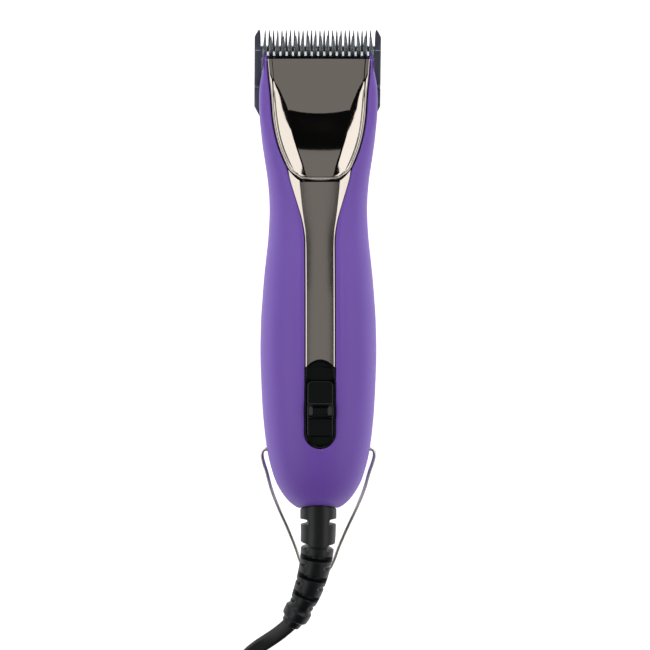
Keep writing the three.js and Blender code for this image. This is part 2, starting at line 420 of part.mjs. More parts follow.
// ---------- hanging bail ----------
{
  const half = [[17.1, 23], [20.9, 23], [21.8, 22.2], [22.0, 20.6], [21.2, 17.2], [20.2, 14.2], [18.2, 7], [15.1, -0.8], [11.6, -8.6], [8.4, -16.4], [6.6, -21.5], [4.6, -25], [2, -26.4], [0, -26.6]];
  const z = (y) => SPLIT_Z - Math.max(0, 22.6 - y) * (SPLIT_Z - 1.1) / 49.2;
  const path = half.map(([x, y]) => new THREE.Vector3(x, y, z(y)));
  for (const p of half.slice(0, -1).reverse()) path.push(new THREE.Vector3(-p[0], p[1], z(p[1])));
  const curve = new THREE.CatmullRomCurve3(path, false, 'centripetal');
  const section = new THREE.Shape().absarc(0, 0, WIRE_R, 0, 2 * Math.PI);
  add('hanging_bail', new THREE.ExtrudeGeometry(section, { steps: 48, curveSegments: 4, bevelEnabled: false, extrudePath: curve }), ...STEEL);
}

// ---------- strain relief and cord ----------
const RELIEF = [[0, 5.2, 20, 7.2], [0, 2.9, 20, 7.2], [0, 2.8, 20, 6.1], [0, -0.5, 20, 6.1], [0, -0.7, 20, 7.1], [0, -3, 19.9, 7.1], [0, -4.6, 19.8, 6.2], [0, -7.6, 19.6, 6.2],
  [0, -9, 19.4, 6.9], [-0.1, -12.5, 19, 6.5], [-0.3, -15.5, 18.4, 5.2], [-0.6, -18.5, 17.6, 6.3], [-1.3, -23, 16.3, 5.9], [-2.5, -28, 14.7, 5.7],
  [-4.1, -33, 13, 5.4], [-6, -37.5, 11.4, 5.1], [-7.2, -40, 10.4, 5.3], [-8.4, -42.2, 9.6, 5.4], [-9.9, -44.8, 8.6, 5.2], [-10.3, -45.4, 8.3, 3.9]];
add('strain_relief', sweep(RELIEF, 16), ...DARK);
{
  const lead = [[-10.85, -46.05, 7.95], [-13.6, -48.9, 6.6], [-17.6, -51.8, 5.0], [-22, -54.4, 3.7], [-26, -57.2, 2.9], [-29.6, -61, 2.65], [-32.3, -66, 2.6], [-33.6, -71.5, 2.6], [-33.9, -79.4, 2.6]];
  const curve = new THREE.CatmullRomCurve3(lead.map((p) => new THREE.Vector3(...p)), false, 'centripetal');
  const section = new THREE.Shape().absarc(0, 0, CORD_R, 0, 2 * Math.PI);
  add('cord_lead', new THREE.ExtrudeGeometry(section, { steps: 12, curveSegments: 4, bevelEnabled: false, extrudePath: curve }), ...DARK);
  const outline = [];
  for (let i = 0; i <= 12; i++) { const t = Math.PI * i / 12; outline.push([HANK_X + HANK_R * Math.cos(t), HANK_Y0 + HANK_R * Math.sin(t)]); }
  for (let i = 0; i <= 12; i++) { const t = Math.PI + Math.PI * i / 12; outline.push([HANK_X + HANK_R * Math.cos(t), HANK_Y1 + HANK_R * Math.sin(t)]); }
  add('cord_hank', prism(outline, HANK_Z0, HANK_Z1), ...DARK);
  const x0 = HANK_X - HANK_R - GAP, x1 = HANK_X + HANK_R + GAP;
  add('cord_tie', solid(box(x0 - 0.7, x1 + 0.7, -163, -153, 0.1, HANK_Z1 + 1.0)).subtract(solid(box(x0, x1, -170, -140, 0.8, HANK_Z1 + 0.3))), ...DARK);
  const px = HANK_X - 18, pz = HANK_Z1 + 6.3, t = (y, w, h) => [[px - w, y, pz - h], [px + w, y, pz - h], [px + w, y, pz + h], [px - w, y, pz + h]];
  add('plug_body', loft([t(-108, 3.6, 3.2), t(-115, 5.2, 4.2), t(-119, 8.6, 5.6), t(-131, 9, 6), t(-134, 8.8, 5.8)]), ...DARK);
  add('plug_blade_left', box(px - 7.1, px - 5.6, -150.3, -134.3, pz - 3.2, pz + 3.2), 0xc9a85c, 0.3, 1);
  add('plug_blade_right', box(px + 5.6, px + 7.1, -150.3, -134.3, pz - 3.2, pz + 3.2), 0xc9a85c, 0.3, 1);
}

export default clipper;
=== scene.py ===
"""Corded pet clipper lying on its back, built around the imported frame."""
import bpy, bmesh, math, json
import numpy as np
from mathutils import Vector, Matrix


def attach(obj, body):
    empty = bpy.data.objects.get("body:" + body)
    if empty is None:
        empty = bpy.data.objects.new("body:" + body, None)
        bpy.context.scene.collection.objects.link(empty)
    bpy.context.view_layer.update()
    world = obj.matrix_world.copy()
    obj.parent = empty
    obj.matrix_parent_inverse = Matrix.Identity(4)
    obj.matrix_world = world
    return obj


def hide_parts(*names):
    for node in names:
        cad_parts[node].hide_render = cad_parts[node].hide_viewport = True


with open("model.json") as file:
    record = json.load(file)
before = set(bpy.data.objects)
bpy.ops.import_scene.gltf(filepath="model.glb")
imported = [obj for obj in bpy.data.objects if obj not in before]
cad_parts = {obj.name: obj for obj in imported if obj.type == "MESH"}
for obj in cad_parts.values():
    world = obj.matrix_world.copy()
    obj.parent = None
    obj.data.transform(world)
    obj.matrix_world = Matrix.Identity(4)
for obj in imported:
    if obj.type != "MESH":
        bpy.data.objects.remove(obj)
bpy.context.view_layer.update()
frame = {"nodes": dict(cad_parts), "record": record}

MID = 69.66          # same offset as the CAD part
SPLIT = 20.0
PIN_Y, PIN_Z, TILT = 151.0, 8.0, math.radians(15)
CT, ST = math.cos(TILT), math.sin(TILT)
HANK_X, HANK_R, HANK_Y0, HANK_Y1, HANK_Z0, HANK_Z1 = -6.3, 29.2, -95.2, -170.2, 1.1, 19.7


def mm(x, y, z):
    return ((x) * 1e-3, (y - MID) * 1e-3, z * 1e-3)


def blade(x, y, z):
    """a point in the blade's own frame, in mm along the housing"""
    return (x, PIN_Y + y * CT - z * ST, PIN_Z + y * ST + z * CT)


# ------------------------------------------------------------------ camera
DIST = 1.7
target = Vector(mm(2.6, 71.4, 20))
lean = math.radians(2.0)
cam_data = bpy.data.cameras.new("camera")
cam = bpy.data.objects.new("camera", cam_data)
bpy.context.scene.collection.objects.link(cam)
cam.matrix_world = Matrix.Translation(target) @ Matrix.Rotation(-lean, 4, "Y") @ Matrix.Translation((0, 0, DIST))
cam_data.sensor_width = 36
cam_data.lens = 18 * DIST / 0.12675
cam_data.clip_start, cam_data.clip_end = 0.05, 20
bpy.context.scene.camera = cam
bpy.context.scene.view_settings.view_transform = "Standard"


# ------------------------------------------------------------------ tables
def pchip(table):
    x = np.array([t[0] for t in table], float)
    y = np.array([t[1] for t in table], float)
    h, d = np.diff(x), np.diff(y) / np.diff(x)
    s = np.zeros_like(y)
    for i in range(1, len(x) - 1):
        if d[i - 1] * d[i] > 0:
            w1, w2 = 2 * h[i] + h[i - 1], h[i] + 2 * h[i - 1]
            s[i] = (w1 + w2) / (w1 / d[i - 1] + w2 / d[i])
    s[0], s[-1] = d[0], d[-1]

    def f(q):
        q = np.clip(np.asarray(q, float), x[0], x[-1])
        i = np.clip(np.searchsorted(x, q) - 1, 0, len(x) - 2)
        t = (q - x[i]) / h[i]
        return ((1 + 2 * t) * (1 - t) ** 2 * y[i] + t * (1 - t) ** 2 * h[i] * s[i]
                + t * t * (3 - 2 * t) * y[i + 1] + t * t * (t - 1) * h[i] * s[i + 1])
    return f


WIDTH = pchip([[0, 7.8], [1.2, 9.75], [3.1, 11.9], [7, 14.8], [10.9, 16.8], [14.8, 18.1], [18.7, 19.15], [22.6, 19.95],
  [30.4, 21.0], [38.2, 21.7], [49.9, 22.3], [61, 22.6], [73.3, 22.35], [81.1, 21.85],
  [88.9, 21.25], [96.7, 20.45], [104.5, 19.6], [112.3, 19.1], [116.2, 19.0], [120.1, 19.1], [127.9, 19.75], [135.7, 20.9],
  [143.5, 22], [147.4, 22.4], [151.3, 22.8], [157.4, 23.1], [162.8, 23], [166.8, 22.5], [170.8, 21.7], [175.4, 20.9]])
CROWN = pchip([[0, 6.6], [1.2, 8.4], [3.1, 10.4], [7, 13.3], [10.9, 15.5], [14.8, 17.1], [18.7, 18.3], [22.6, 19.3],
  [30.4, 20.7], [38.2, 21.6], [49.9, 22.4], [65.5, 22.6], [81.1, 21.9], [96.7, 20], [108.4, 18.3], [116.2, 17.5],
  [124, 17], [127, 16.85], [131.8, 16.4], [136, 15.75], [139.6, 14.9], [145, 13.1], [152.8, 10.0], [153.4, 9.82], [160, 8.7], [168, 7.3], [175.4, 6.0]])
BELLY = pchip([[0, 6.6], [1.2, 8.4], [3.1, 10.4], [7, 13.2], [10.9, 15.3], [14.8, 17], [18.7, 18.2], [22.6, 19.2],
  [30.4, 20.4], [38.2, 20.7], [81.1, 20.7], [92, 20.2], [104.5, 18.9], [116.2, 17.6], [127.9, 16.4], [139.6, 15.3], [151.3, 14.6], [175.4, 13]])
SQUARE = pchip([[0, 2.1], [60, 2.35], [120, 2.4], [140, 2.8], [157, 3.4], [175.4, 3.6]])
CAP = pchip([[126.9, 6.9], [127.3, 7.9], [128.2, 9.1], [129.4, 10.3], [131.4, 11.9], [135.7, 14.0], [140.5, 15.8], [146.2, 17.2], [153, 18.15], [159.9, 18.7], [168, 19.3], [175.4, 19.9]])
# purple edge of the recess: strip groove, its flare, then the cap
EDGE = pchip([[55, 5.98], [103.4, 5.98], [107.5, 6.3], [111.5, 6.95], [117, 8.4], [122, 9.9], [127.9, 11.6], [131.4, 12.35], [135.7, 14.3],
  [140.5, 16.1], [146.2, 17.5], [153, 18.45], [159.9, 19.0], [168, 19.6], [175.4, 20.2]])
FACE = pchip([[50, 5.2], [99, 5.22], [107, 5.5], [112.3, 6.2], [119, 7.0], [126.4, 7.75], [132, 8.2]])
INSET = pchip([[50, 0.42], [104, 0.4], [112, 0.27], [118, 0.2], [132, 0.16]])


def crown(x, y):
    a, n, h = WIDTH(y), SQUARE(y), CROWN(y)
    t = np.minimum(np.abs(x) / a, 0.9995)
    return SPLIT + h * (1 - t ** n) ** (1 / n)


# ------------------------------------------------------------------ mesh helpers
def make(name, verts, faces, flip=False):
    me = bpy.data.meshes.new(name)
    me.from_pydata([mm(*v) for v in verts], [], [f[::-1] for f in faces] if flip else faces)
    me.validate()
    ob = bpy.data.objects.new(name, me)
    bpy.context.scene.collection.objects.link(ob)
    return ob


def tidy(ob, dist=2e-6, recalc=True):
    bm = bmesh.new()
    bm.from_mesh(ob.data)
    bmesh.ops.remove_doubles(bm, verts=bm.verts, dist=dist)
    bmesh.ops.dissolve_degenerate(bm, edges=bm.edges, dist=dist)
    if recalc:
        bmesh.ops.recalc_face_normals(bm, faces=bm.faces)
        if bm.calc_volume(signed=True) < 0 and all(e.is_manifold for e in bm.edges):
            bmesh.ops.reverse_faces(bm, faces=bm.faces)
    bm.to_mesh(ob.data)
    bm.free()
    return ob


def grid(rows, cols, wrap=False, base=0):
    f = []
    for i in range(rows - 1):
        for j in range(cols if wrap else cols - 1):
            a, b = base + i * cols + j, base + i * cols + (j + 1) % cols
            f.append((a, b, b + cols, a + cols))
    return f


def tube(name, rings, caps=True):
    n = len(rings[0])
    v = [p for r in rings for p in r]
    f = grid(len(rings), n, wrap=True)
    if caps:
        f.append(tuple(range(n))[::-1])
        f.append(tuple((len(rings) - 1) * n + k for k in range(n)))
    ob = make(name, v, f)
    return tidy(ob)


def smooth(ob, angle=35):
    for p in ob.data.polygons:
        p.use_smooth = True
    bm = bmesh.new()
    bm.from_mesh(ob.data)
    lim = math.radians(angle)
    for e in bm.edges:
        e.smooth = not (len(e.link_faces) == 2 and e.calc_face_angle(0) > lim)
    bm.to_mesh(ob.data)
    bm.free()
    return ob


def apply_mods(ob):
    dg = bpy.context.evaluated_depsgraph_get()
    me = bpy.data.meshes.new_from_object(ob.evaluated_get(dg))
    ob.modifiers.clear()
    ob.data = me
    return ob


def thicken(ob, t, offset=-1):
    md = ob.modifiers.new("wall", "SOLIDIFY")
    md.thickness, md.offset, md.use_even_offset, md.use_rim = t * 1e-3, offset, False, True
    return apply_mods(ob)


def bevel(ob, w, seg=2, angle=30):
    md = ob.modifiers.new("edge", "BEVEL")
    md.width, md.segments, md.limit_method, md.angle_limit = w * 1e-3, seg, "ANGLE", math.radians(angle)
    md.use_clamp_overlap = True
    return apply_mods(ob)


def cut(ob, cutters):
    for c in cutters:
        md = ob.modifiers.new("cut", "BOOLEAN")
        md.operation, md.solver, md.object = "DIFFERENCE", "EXACT", c
        apply_mods(ob)
        bpy.data.objects.remove(c)
    return ob


def block(x0, x1, y0, y1, z0, z1, to=None):
    c = [(x, y, z) for x in (x0, x1) for y in (y0, y1) for z in (z0, z1)]
    if to:
        c = [to(*p) for p in c]
    ob = make("cutter", c, [(0, 1, 3, 2), (4, 6, 7, 5), (0, 4, 5, 1), (2, 3, 7, 6), (0, 2, 6, 4), (1, 5, 7, 3)])
    return tidy(ob)


def drum(r, a, b, cx, cy, axis="z", n=32, to=None):
    rings = []
    for s in (a, b):
        ring = []
        for k in range(n):
            t = 2 * math.pi * k / n
            u, v = r * math.cos(t), r * math.sin(t)
            p = {"z": (cx + u, cy + v, s), "x": (s, cx + u, cy + v), "y": (cx + u, s, cy + v)}[axis]
            ring.append(to(*p) if to else p)
        rings.append(ring)
    return tube("cutter", rings)


# ------------------------------------------------------------------ materials
def srgb(r, g, b):
    return tuple(((c / 255) / 12.92 if c <= 10 else ((c / 255 + 0.055) / 1.055) ** 2.4) for c in (r, g, b)) + (1,)


def material(name, colour, rough=0.5, metal=0.0, vary=0.06, scale=60, rough_vary=0.08, bump=0.02, bump_scale=2500,
             tint=None, coat=0.0, sheen=0.0, sheen_tint=None, stretch=None, wear=None, ior=1.5, aniso=0.0, spec=0.5):
    m = bpy.data.materials.new(name)
    m.use_nodes = True
    nt = m.node_tree
    N, L = nt.nodes, nt.links
    bs = N["Principled BSDF"]
    bs.inputs["Metallic"].default_value = metal
    bs.inputs["IOR"].default_value = ior
    bs.inputs["Coat Weight"].default_value = coat
    bs.inputs["Coat Roughness"].default_value = 0.08
    bs.inputs["Sheen Weight"].default_value = sheen
    bs.inputs["Specular IOR Level"].default_value = spec
    bs.inputs["Anisotropic"].default_value = aniso
    if sheen_tint:
        bs.inputs["Sheen Tint"].default_value = sheen_tint
        bs.inputs["Sheen Roughness"].default_value = 0.45
    tc = N.new("ShaderNodeTexCoord")
    mp = N.new("ShaderNodeMapping")
    L.new(tc.outputs["Object"], mp.inputs["Vector"])
    if stretch:
        mp.inputs["Scale"].default_value = stretch
    n1 = N.new("ShaderNodeTexNoise")
    n1.inputs["Scale"].default_value = scale
    n1.inputs["Detail"].default_value = 5
    L.new(mp.outputs["Vector"], n1.inputs["Vector"])
    mix = N.new("ShaderNodeMix")
    mix.data_type = "RGBA"
    c2 = tint or tuple(c * 0.8 for c in colour[:3]) + (1,)
    lo = tuple(c * (1 - vary) for c in colour[:3]) + (1,)
    hi = tuple(min(1, a * (1 - 2 * vary) + 2 * vary * b) if tint else min(1, a * (1 + vary)) for a, b in zip(colour[:3], c2[:3])) + (1,)
    mix.inputs["A"].default_value = lo
    mix.inputs["B"].default_value = hi
    L.new(n1.outputs["Fac"], mix.inputs["Factor"])
    out = mix.outputs["Result"]
    if wear:
        geo = N.new("ShaderNodeNewGeometry")
        cr = N.new("ShaderNodeValToRGB")
        cr.color_ramp.elements[0].position, cr.color_ramp.elements[1].position = wear[0], wear[1]
        L.new(geo.outputs["Pointiness"], cr.inputs["Fac"])
        mx = N.new("ShaderNodeMix")
        mx.data_type = "RGBA"
        L.new(cr.outputs["Color"], mx.inputs["Factor"])
        L.new(out, mx.inputs["A"])
        mx.inputs["B"].default_value = wear[2]
        out = mx.outputs["Result"]
    L.new(out, bs.inputs["Base Color"])
    n2 = N.new("ShaderNodeTexNoise")
    n2.inputs["Scale"].default_value = scale * 2.3
    n2.inputs["Detail"].default_value = 4
    L.new(mp.outputs["Vector"], n2.inputs["Vector"])
    mr = N.new("ShaderNodeMapRange")
    mr.inputs["To Min"].default_value = max(0.02, rough - rough_vary)
    mr.inputs["To Max"].default_value = min(1, rough + rough_vary)
    L.new(n2.outputs["Fac"], mr.inputs["Value"])
    L.new(mr.outputs["Result"], bs.inputs["Roughness"])
    if bump:
        n3 = N.new("ShaderNodeTexNoise")
        n3.inputs["Scale"].default_value = bump_scale
        n3.inputs["Detail"].default_value = 2
        L.new(mp.outputs["Vector"], n3.inputs["Vector"])
        bp = N.new("ShaderNodeBump")
        bp.inputs["Strength"].default_value = bump
        bp.inputs["Distance"].default_value = 0.0002
        L.new(n3.outputs["Fac"], bp.inputs["Height"])
        L.new(bp.outputs["Normal"], bs.inputs["Normal"])
    return m


M = {
    "purple_housing": material("soft_touch_purple", srgb(108, 73, 171), 0.5, vary=0.05, scale=35, bump=0.25, bump_scale=2200, sheen=0.04,
                               sheen_tint=srgb(205, 180, 235), rough_vary=0.05, spec=0.38, tint=srgb(124, 90, 192)),
    "cap_gunmetal": material("mirror_gunmetal", srgb(172, 165, 158), 0.07, metal=1, vary=0.04, scale=25, rough_vary=0.025, bump=0.012, bump_scale=300),
    "strip_gunmetal": material("satin_gunmetal", srgb(172, 165, 158), 0.2, metal=1, vary=0.05, scale=30, rough_vary=0.05, bump=0.05, bump_scale=900, stretch=(6, 0.5, 6)),
    "black_plastic": material("black_gloss_plastic", srgb(4, 8, 8), 0.2, vary=0.2, scale=90, bump=0.05, bump_scale=1800, spec=0.2, tint=srgb(10, 17, 17)),
    "black_rubber": material("black_rubber", srgb(6, 9, 11), 0.4, vary=0.15, scale=110, bump=0.18, bump_scale=2600, spec=0.32, tint=srgb(25, 29, 32)),
    "cord_jacket": material("cord_jacket", srgb(8, 10, 12), 0.28, vary=0.12, spec=0.42, scale=80, bump=0.1, bump_scale=1500, tint=srgb(28, 31, 34)),
    "steel": material("machined_steel", srgb(176, 178, 180), 0.28, metal=1, vary=0.08, scale=140, bump=0.12, bump_scale=1600, stretch=(1, 8, 1)),
    "bail_wire": material("drawn_wire", srgb(226, 224, 219), 0.34, metal=1, vary=0.06, scale=200, bump=0.05, bump_scale=3000, stretch=(3, 1, 1)),
    # painted shade: the comb steel is darker than the cutter steel to stand for the shade the comb teeth lie in
    "comb_steel": material("comb_steel_painted_shade", srgb(100, 105, 118), 0.3, metal=1, vary=0.1, scale=120, bump=0.1, bump_scale=1800, stretch=(8, 1, 1)),
    "cutter_steel": material("ground_cutter_steel", srgb(172, 178, 182), 0.25, metal=1, vary=0.08, scale=160, bump=0.1, bump_scale=1500, stretch=(10, 1, 1)),
    "spring_steel": material("spring_steel", srgb(150, 146, 140), 0.3, metal=1, vary=0.1, scale=150, bump=0.08),
    "copper": material("copper", srgb(196, 128, 92), 0.35, metal=1, vary=0.1, scale=200, bump=0.1),
    "armature": material("armature", srgb(150, 104, 70), 0.4, metal=0.8, vary=0.2, scale=300, bump=0.3, bump_scale=900, stretch=(1, 6, 1)),
    "brass": material("brass", srgb(205, 170, 104), 0.25, metal=1, vary=0.08, scale=150, bump=0.08),
    "carbon": material("carbon", srgb(30, 30, 32), 0.8, vary=0.2, scale=200, bump=0.3),
    "magnet": material("ferrite", srgb(52, 52, 55), 0.7, metal=0.2, vary=0.2, scale=150, bump=0.3),
    "nylon": material("nylon", srgb(226, 220, 200), 0.45, vary=0.05, scale=100, bump=0.1),
    "board": material("board", srgb(30, 96, 56), 0.4, vary=0.2, scale=220, bump=0.1),
}


def dress(ob, slot, body, nodes=(), name=None):
    ob.data.materials.clear()
    ob.data.materials.append(M[slot])
    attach(ob, body)
    if nodes:
        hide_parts(*nodes)
    return ob


# ------------------------------------------------------------------ cord
def curve_points(ctrl, step):
    """centripetal Catmull-Rom through ctrl, resampled at about step mm"""
    p = np.array(ctrl, float)
    p = np.vstack([2 * p[0] - p[1], p, 2 * p[-1] - p[-2]])
    out = []
    for i in range(1, len(p) - 2):
        p0, p1, p2, p3 = p[i - 1:i + 3]
        t0 = 0
        t1 = t0 + np.linalg.norm(p1 - p0) ** .5
        t2 = t1 + np.linalg.norm(p2 - p1) ** .5
        t3 = t2 + np.linalg.norm(p3 - p2) ** .5
        for t in np.linspace(t1, t2, 24, endpoint=False):
            a1 = (t1 - t) / (t1 - t0) * p0 + (t - t0) / (t1 - t0) * p1
            a2 = (t2 - t) / (t2 - t1) * p1 + (t - t1) / (t2 - t1) * p2
            a3 = (t3 - t) / (t3 - t2) * p2 + (t - t2) / (t3 - t2) * p3
            b1 = (t2 - t) / (t2 - t0) * a1 + (t - t0) / (t2 - t0) * a2
            b2 = (t3 - t) / (t3 - t1) * a2 + (t - t1) / (t3 - t1) * a3
            out.append((t2 - t) / (t2 - t1) * b1 + (t - t1) / (t2 - t1) * b2)
    out.append(p[-2])
    out = np.array(out)
    s = np.concatenate([[0], np.cumsum(np.linalg.norm(np.diff(out, axis=0), axis=1))])
    n = max(2, int(round(s[-1] / step)) + 1)
    q = np.linspace(0, s[-1], n)
    return np.stack([np.interp(q, s, out[:, k]) for k in range(3)], 1)


LEAD = [(-10.85, -46.05, 7.95), (-13.6, -48.9, 6.6), (-17.6, -51.8, 5.0), (-22, -54.4, 3.7), (-26, -57.2, 2.9), (-29.6, -61, 2.65),
        (-32.3, -66, 2.6), (-33.6, -71.5, 2.9), (-33.9, -79.4, 3.6), (-33.9, -87, 4.1)]
LAYERS = [4.2, 10.4, 16.6]
RADII = [27.6, 24.4, 21.2, 18.0]
turns = [(r, LAYERS[0]) for r in RADII] + [(r, LAYERS[1]) for r in RADII[::-1]] + [(r, LAYERS[2]) for r in RADII]
route = [np.array(p, float) for p in curve_points(LEAD, 2.5)]
ease = lambda t: t * t * (3 - 2 * t)
for k, (r, z) in enumerate(turns):
    last = k == len(turns) - 1
    r2, z2 = (r, 24.6) if last else turns[k + 1]
    for y in np.linspace(HANK_Y0 if k else -92, HANK_Y1, 26)[:-1]:
        route.append(np.array([HANK_X - r, y, z]))
    for t in np.linspace(0, math.pi, 30)[:-1]:
        route.append(np.array([HANK_X - r * math.cos(t), HANK_Y1 - r * math.sin(t), z]))
    for y in np.linspace(HANK_Y1, HANK_Y0, 26)[:-1]:
        route.append(np.array([HANK_X + r, y, z]))
    for t in np.linspace(0, math.pi, 34)[:-1]:
        e = ease(t / math.pi)
        rr, zz = r + (r2 - r) * e, z + (z2 - z) * e
        route.append(np.array([HANK_X + rr * math.cos(t), HANK_Y0 + rr * math.sin(t), zz]))
PLUG_X, PLUG_Z = HANK_X - 18.0, HANK_Z1 + 6.3
for t in np.linspace(0, 1, 8):
    route.append(np.array([PLUG_X, HANK_Y0 - 13.5 * t, 24.6 + (PLUG_Z - 24.6) * ease(t)]))
route = np.array(route)
# even out the joins
for _ in range(6):
    route[1:-1] = 0.25 * route[:-2] + 0.5 * route[1:-1] + 0.25 * route[2:]
S = np.concatenate([[0], np.cumsum(np.linalg.norm(np.diff(route, axis=0), axis=1))])
LENGTH = float(S[-1])
q = np.linspace(0, LENGTH, int(LENGTH / 2.4))
route = np.stack([np.interp(q, S, route[:, k]) for k in range(3)], 1)
tan = np.gradient(route, axis=0)
tan /= np.linalg.norm(tan, axis=1)[:, None]
rings = []
NS = 20
for i, (p, t) in enumerate(zip(route, tan)):
    s = q[i]
    roll = ease(min(max((s - 16) / 36, 0), 1)) * math.pi / 2
    if s > LENGTH - 60:
        roll *= 1 - ease(min((s - LENGTH + 60) / 50, 1))
    side = np.cross(t, [0, 0, 1.0]); side /= np.linalg.norm(side)
    up = np.cross(side, t)
    w = side * math.cos(roll) + up * math.sin(roll)      # along the two strands
    h = -side * math.sin(roll) + up * math.cos(roll)
    ring = []
    for k in range(NS):
        a = 2 * math.pi * k / NS
        c, sn = math.cos(a), math.sin(a)
        x = 1.42 * (1 if c > 0 else -1 if c < 0 else 0) * min(1, abs(c) * 6) + 1.56 * c
        hh = 1.56 * sn * (1 - 0.32 * math.exp(-(c / 0.22) ** 2))
        ring.append(tuple(p + w * x + h * hh))
    rings.append(ring)
cord = tube("cord", rings)
smooth(cord, 60)
dress(cord, "cord_jacket", "housing", ["cord_lead", "cord_hank"])


# plug: body with a ribbed tail, and its two blades from the frame
def rrect(w, h, r, n=6):
    pts = []
    for cx, cz, a0 in ((w - r, h - r, 0), (-w + r, h - r, 90), (-w + r, -h + r, 180), (w - r, -h + r, 270)):
        for k in range(n + 1):
            a = math.radians(a0 + 90 * k / n)
            pts.append((cx + r * math.cos(a), cz + r * math.sin(a)))
    return pts


prof = [(-107.6, 3.2, 2.0, 1.9), (-107.9, 3.6, 2.6, 2.4)]
for k in range(5):
    y = -108.4 - 1.5 * k
    g = 0.28 * k
    prof += [(y, 3.7 + g, 2.9 + g * .5, 2.6), (y - 0.75, 3.7 + g, 2.9 + g * .5, 2.6), (y - 0.8, 3.1 + g, 2.4 + g * .5, 2.2), (y - 1.4, 3.1 + g, 2.4 + g * .5, 2.2)]
prof += [(-116.2, 5.2, 4.2, 3.4), (-117.2, 6.6, 4.9, 3.6), (-118.6, 8.2, 5.5, 3.4), (-120.5, 8.8, 5.8, 3.0), (-124, 8.4, 5.5, 3.0), (-128, 8.5, 5.6, 2.8), (-131.5, 8.9, 5.9, 2.2),
         (-133.2, 8.9, 5.9, 2.0), (-133.8, 8.6, 5.6, 2.0), (-134.0, 8.1, 5.1, 1.9)]
plug = tube("plug", [[(PLUG_X + x, y, PLUG_Z + z) for x, z in rrect(w, h, min(r, h - 0.05))] for y, w, h, r in prof])
smooth(plug, 40)
dress(plug, "black_rubber", "housing", ["plug_body"])
for s, node in ((-1, "plug_blade_left"), (1, "plug_blade_right")):
    x = PLUG_X + s * 6.35
    b = block(x - 0.75, x + 0.75, -150.2, -133.4, PLUG_Z - 3.15, PLUG_Z + 3.15)
    b = cut(b, [drum(1.6, x - 3, x + 3, -147.2, PLUG_Z, "x")])
    b = bevel(b, 0.3, 3)
    b.name = "plug_blade_" + ("l" if s < 0 else "r")
    smooth(b, 50)
    dress(b, "brass", "housing", [node])
# strap round the hank
x0, x1, z1 = HANK_X - HANK_R - 0.35, HANK_X + HANK_R + 0.35, HANK_Z1 + 0.35
loop_in = [(HANK_X + a, (HANK_Z0 + HANK_Z1) / 2 + b) for a, b in rrect((x1 - x0) / 2, (z1 - 0.75) / 2, 5.5, 8)]
loop_out = [(HANK_X + a, (HANK_Z0 + HANK_Z1) / 2 + b) for a, b in rrect((x1 - x0) / 2 + 0.6, (z1 - 0.75) / 2 + 0.62, 6.1, 8)]
n = len(loop_in)
v, f = [], []
for y in (-163, -162.7, -153.3, -153):
    e = 0.18 if y in (-163, -153) else 0
    v += [(x, y, z) for x, z in loop_in]
    v += [(x + (xi - x) * e, y, z + (zi - z) * e) for (x, z), (xi, zi) in zip(loop_out, loop_in)]
for j in range(n):
    k = (j + 1) % n
    for i in range(3):
        a, b = i * 2 * n, (i + 1) * 2 * n
        f += [(a + j, a + k, b + k, b + j), (a + n + k, a + n + j, b + n + j, b + n + k)]
    f += [(j, n + j, n + k, k), (6 * n + k, 7 * n + k, 7 * n + j, 6 * n + j)]
tie = tidy(make("cord_strap", v, f))
smooth(tie, 40)
dress(tie, "black_rubber", "housing", ["cord_tie"])

# ------------------------------------------------------------------ strain relief
RL = curve_points([(0, 2.4, 20), (0, -4, 19.85), (0, -9, 19.4), (-0.2, -14, 18.7), (-0.6, -18.5, 17.6), (-1.3, -23, 16.3), (-2.5, -28, 14.7),
                   (-4.1, -33, 13), (-6, -37.5, 11.4), (-7.4, -40.3, 10.3), (-8.6, -42.6, 9.4), (-9.9, -44.8, 8.6), (-10.4, -45.5, 8.25)], 0.2)
rs = np.concatenate([[0], np.cumsum(np.linalg.norm(np.diff(RL, axis=0), axis=1))])
rtan = np.gradient(RL, axis=0); rtan /= np.linalg.norm(rtan, axis=1)[:, None]
RAD = pchip([[0, 6.0], [2.0, 6.0], [2.5, 6.9], [3.0, 7.1], [6.6, 7.1], [8.6, 6.95], [9.4, 6.9], [16.5, 6.75], [17.0, 6.5], [19.5, 6.45], [27, 6.1], [36, 5.6], [41.2, 5.1], [43.6, 4.7],
             [44.4, 4.9], [45.0, 5.45], [48.2, 5.3], [48.9, 5.0], [49.3, 4.2], [60, 3.4]])


def pulse(s, c, w):
    return 1 / (1 + math.exp(-(s - c + w / 2) * 14)) * 1 / (1 + math.exp((s - c - w / 2) * 14))


SIDES = [(7.5, 1.7, 3.3), (17.0, 2.0, 3.7), (24.6, 1.1, 2.2), (33.0, 1.1, 2.1), (41.4, 1.1, 1.8)]
FRONTS = [(21.0, 1.7, 2.9), (29.2, 1.7, 2.7), (37.4, 1.6, 2.4)]
rings, NR = [], 72
for i, p in enumerate(RL):
    t = rtan[i]
    side = np.cross(t, [0, 0, 1.0]); side /= np.linalg.norm(side)
    up = np.cross(side, t)
    s = rs[i]
    base = float(RAD(s))
    ring = []
    for k in range(NR):
        a = 2 * math.pi * k / NR
        c, sn = math.cos(a), math.sin(a)
        r = base
        for sc, w, d in SIDES:
            r -= d * pulse(s, sc, w) * (1 / (1 + math.exp(-(abs(c) - 0.72) * 26)))
        for sc, w, d in FRONTS:
            r -= d * pulse(s, sc + 0.5 * (1 - abs(sn)) * (1 if c > 0 else 1), w) * (1 / (1 + math.exp(-(abs(sn) - 0.42) * 24)))
        lift = 1.5 * max(0, sn) ** 1.5 * math.exp(-((s - 2.6) / 1.6) ** 2)
        ring.append(tuple(p + side * r * c + up * r * sn * 0.97 + np.array([0, lift, 0])))
    rings.append(ring)
relief = tube("strain_relief_boot", rings)
smooth(relief, 45)
dress(relief, "black_rubber", "housing", ["strain_relief"])

# ------------------------------------------------------------------ front housing
WELL_Y, WELL_R = 29.5, 5.98


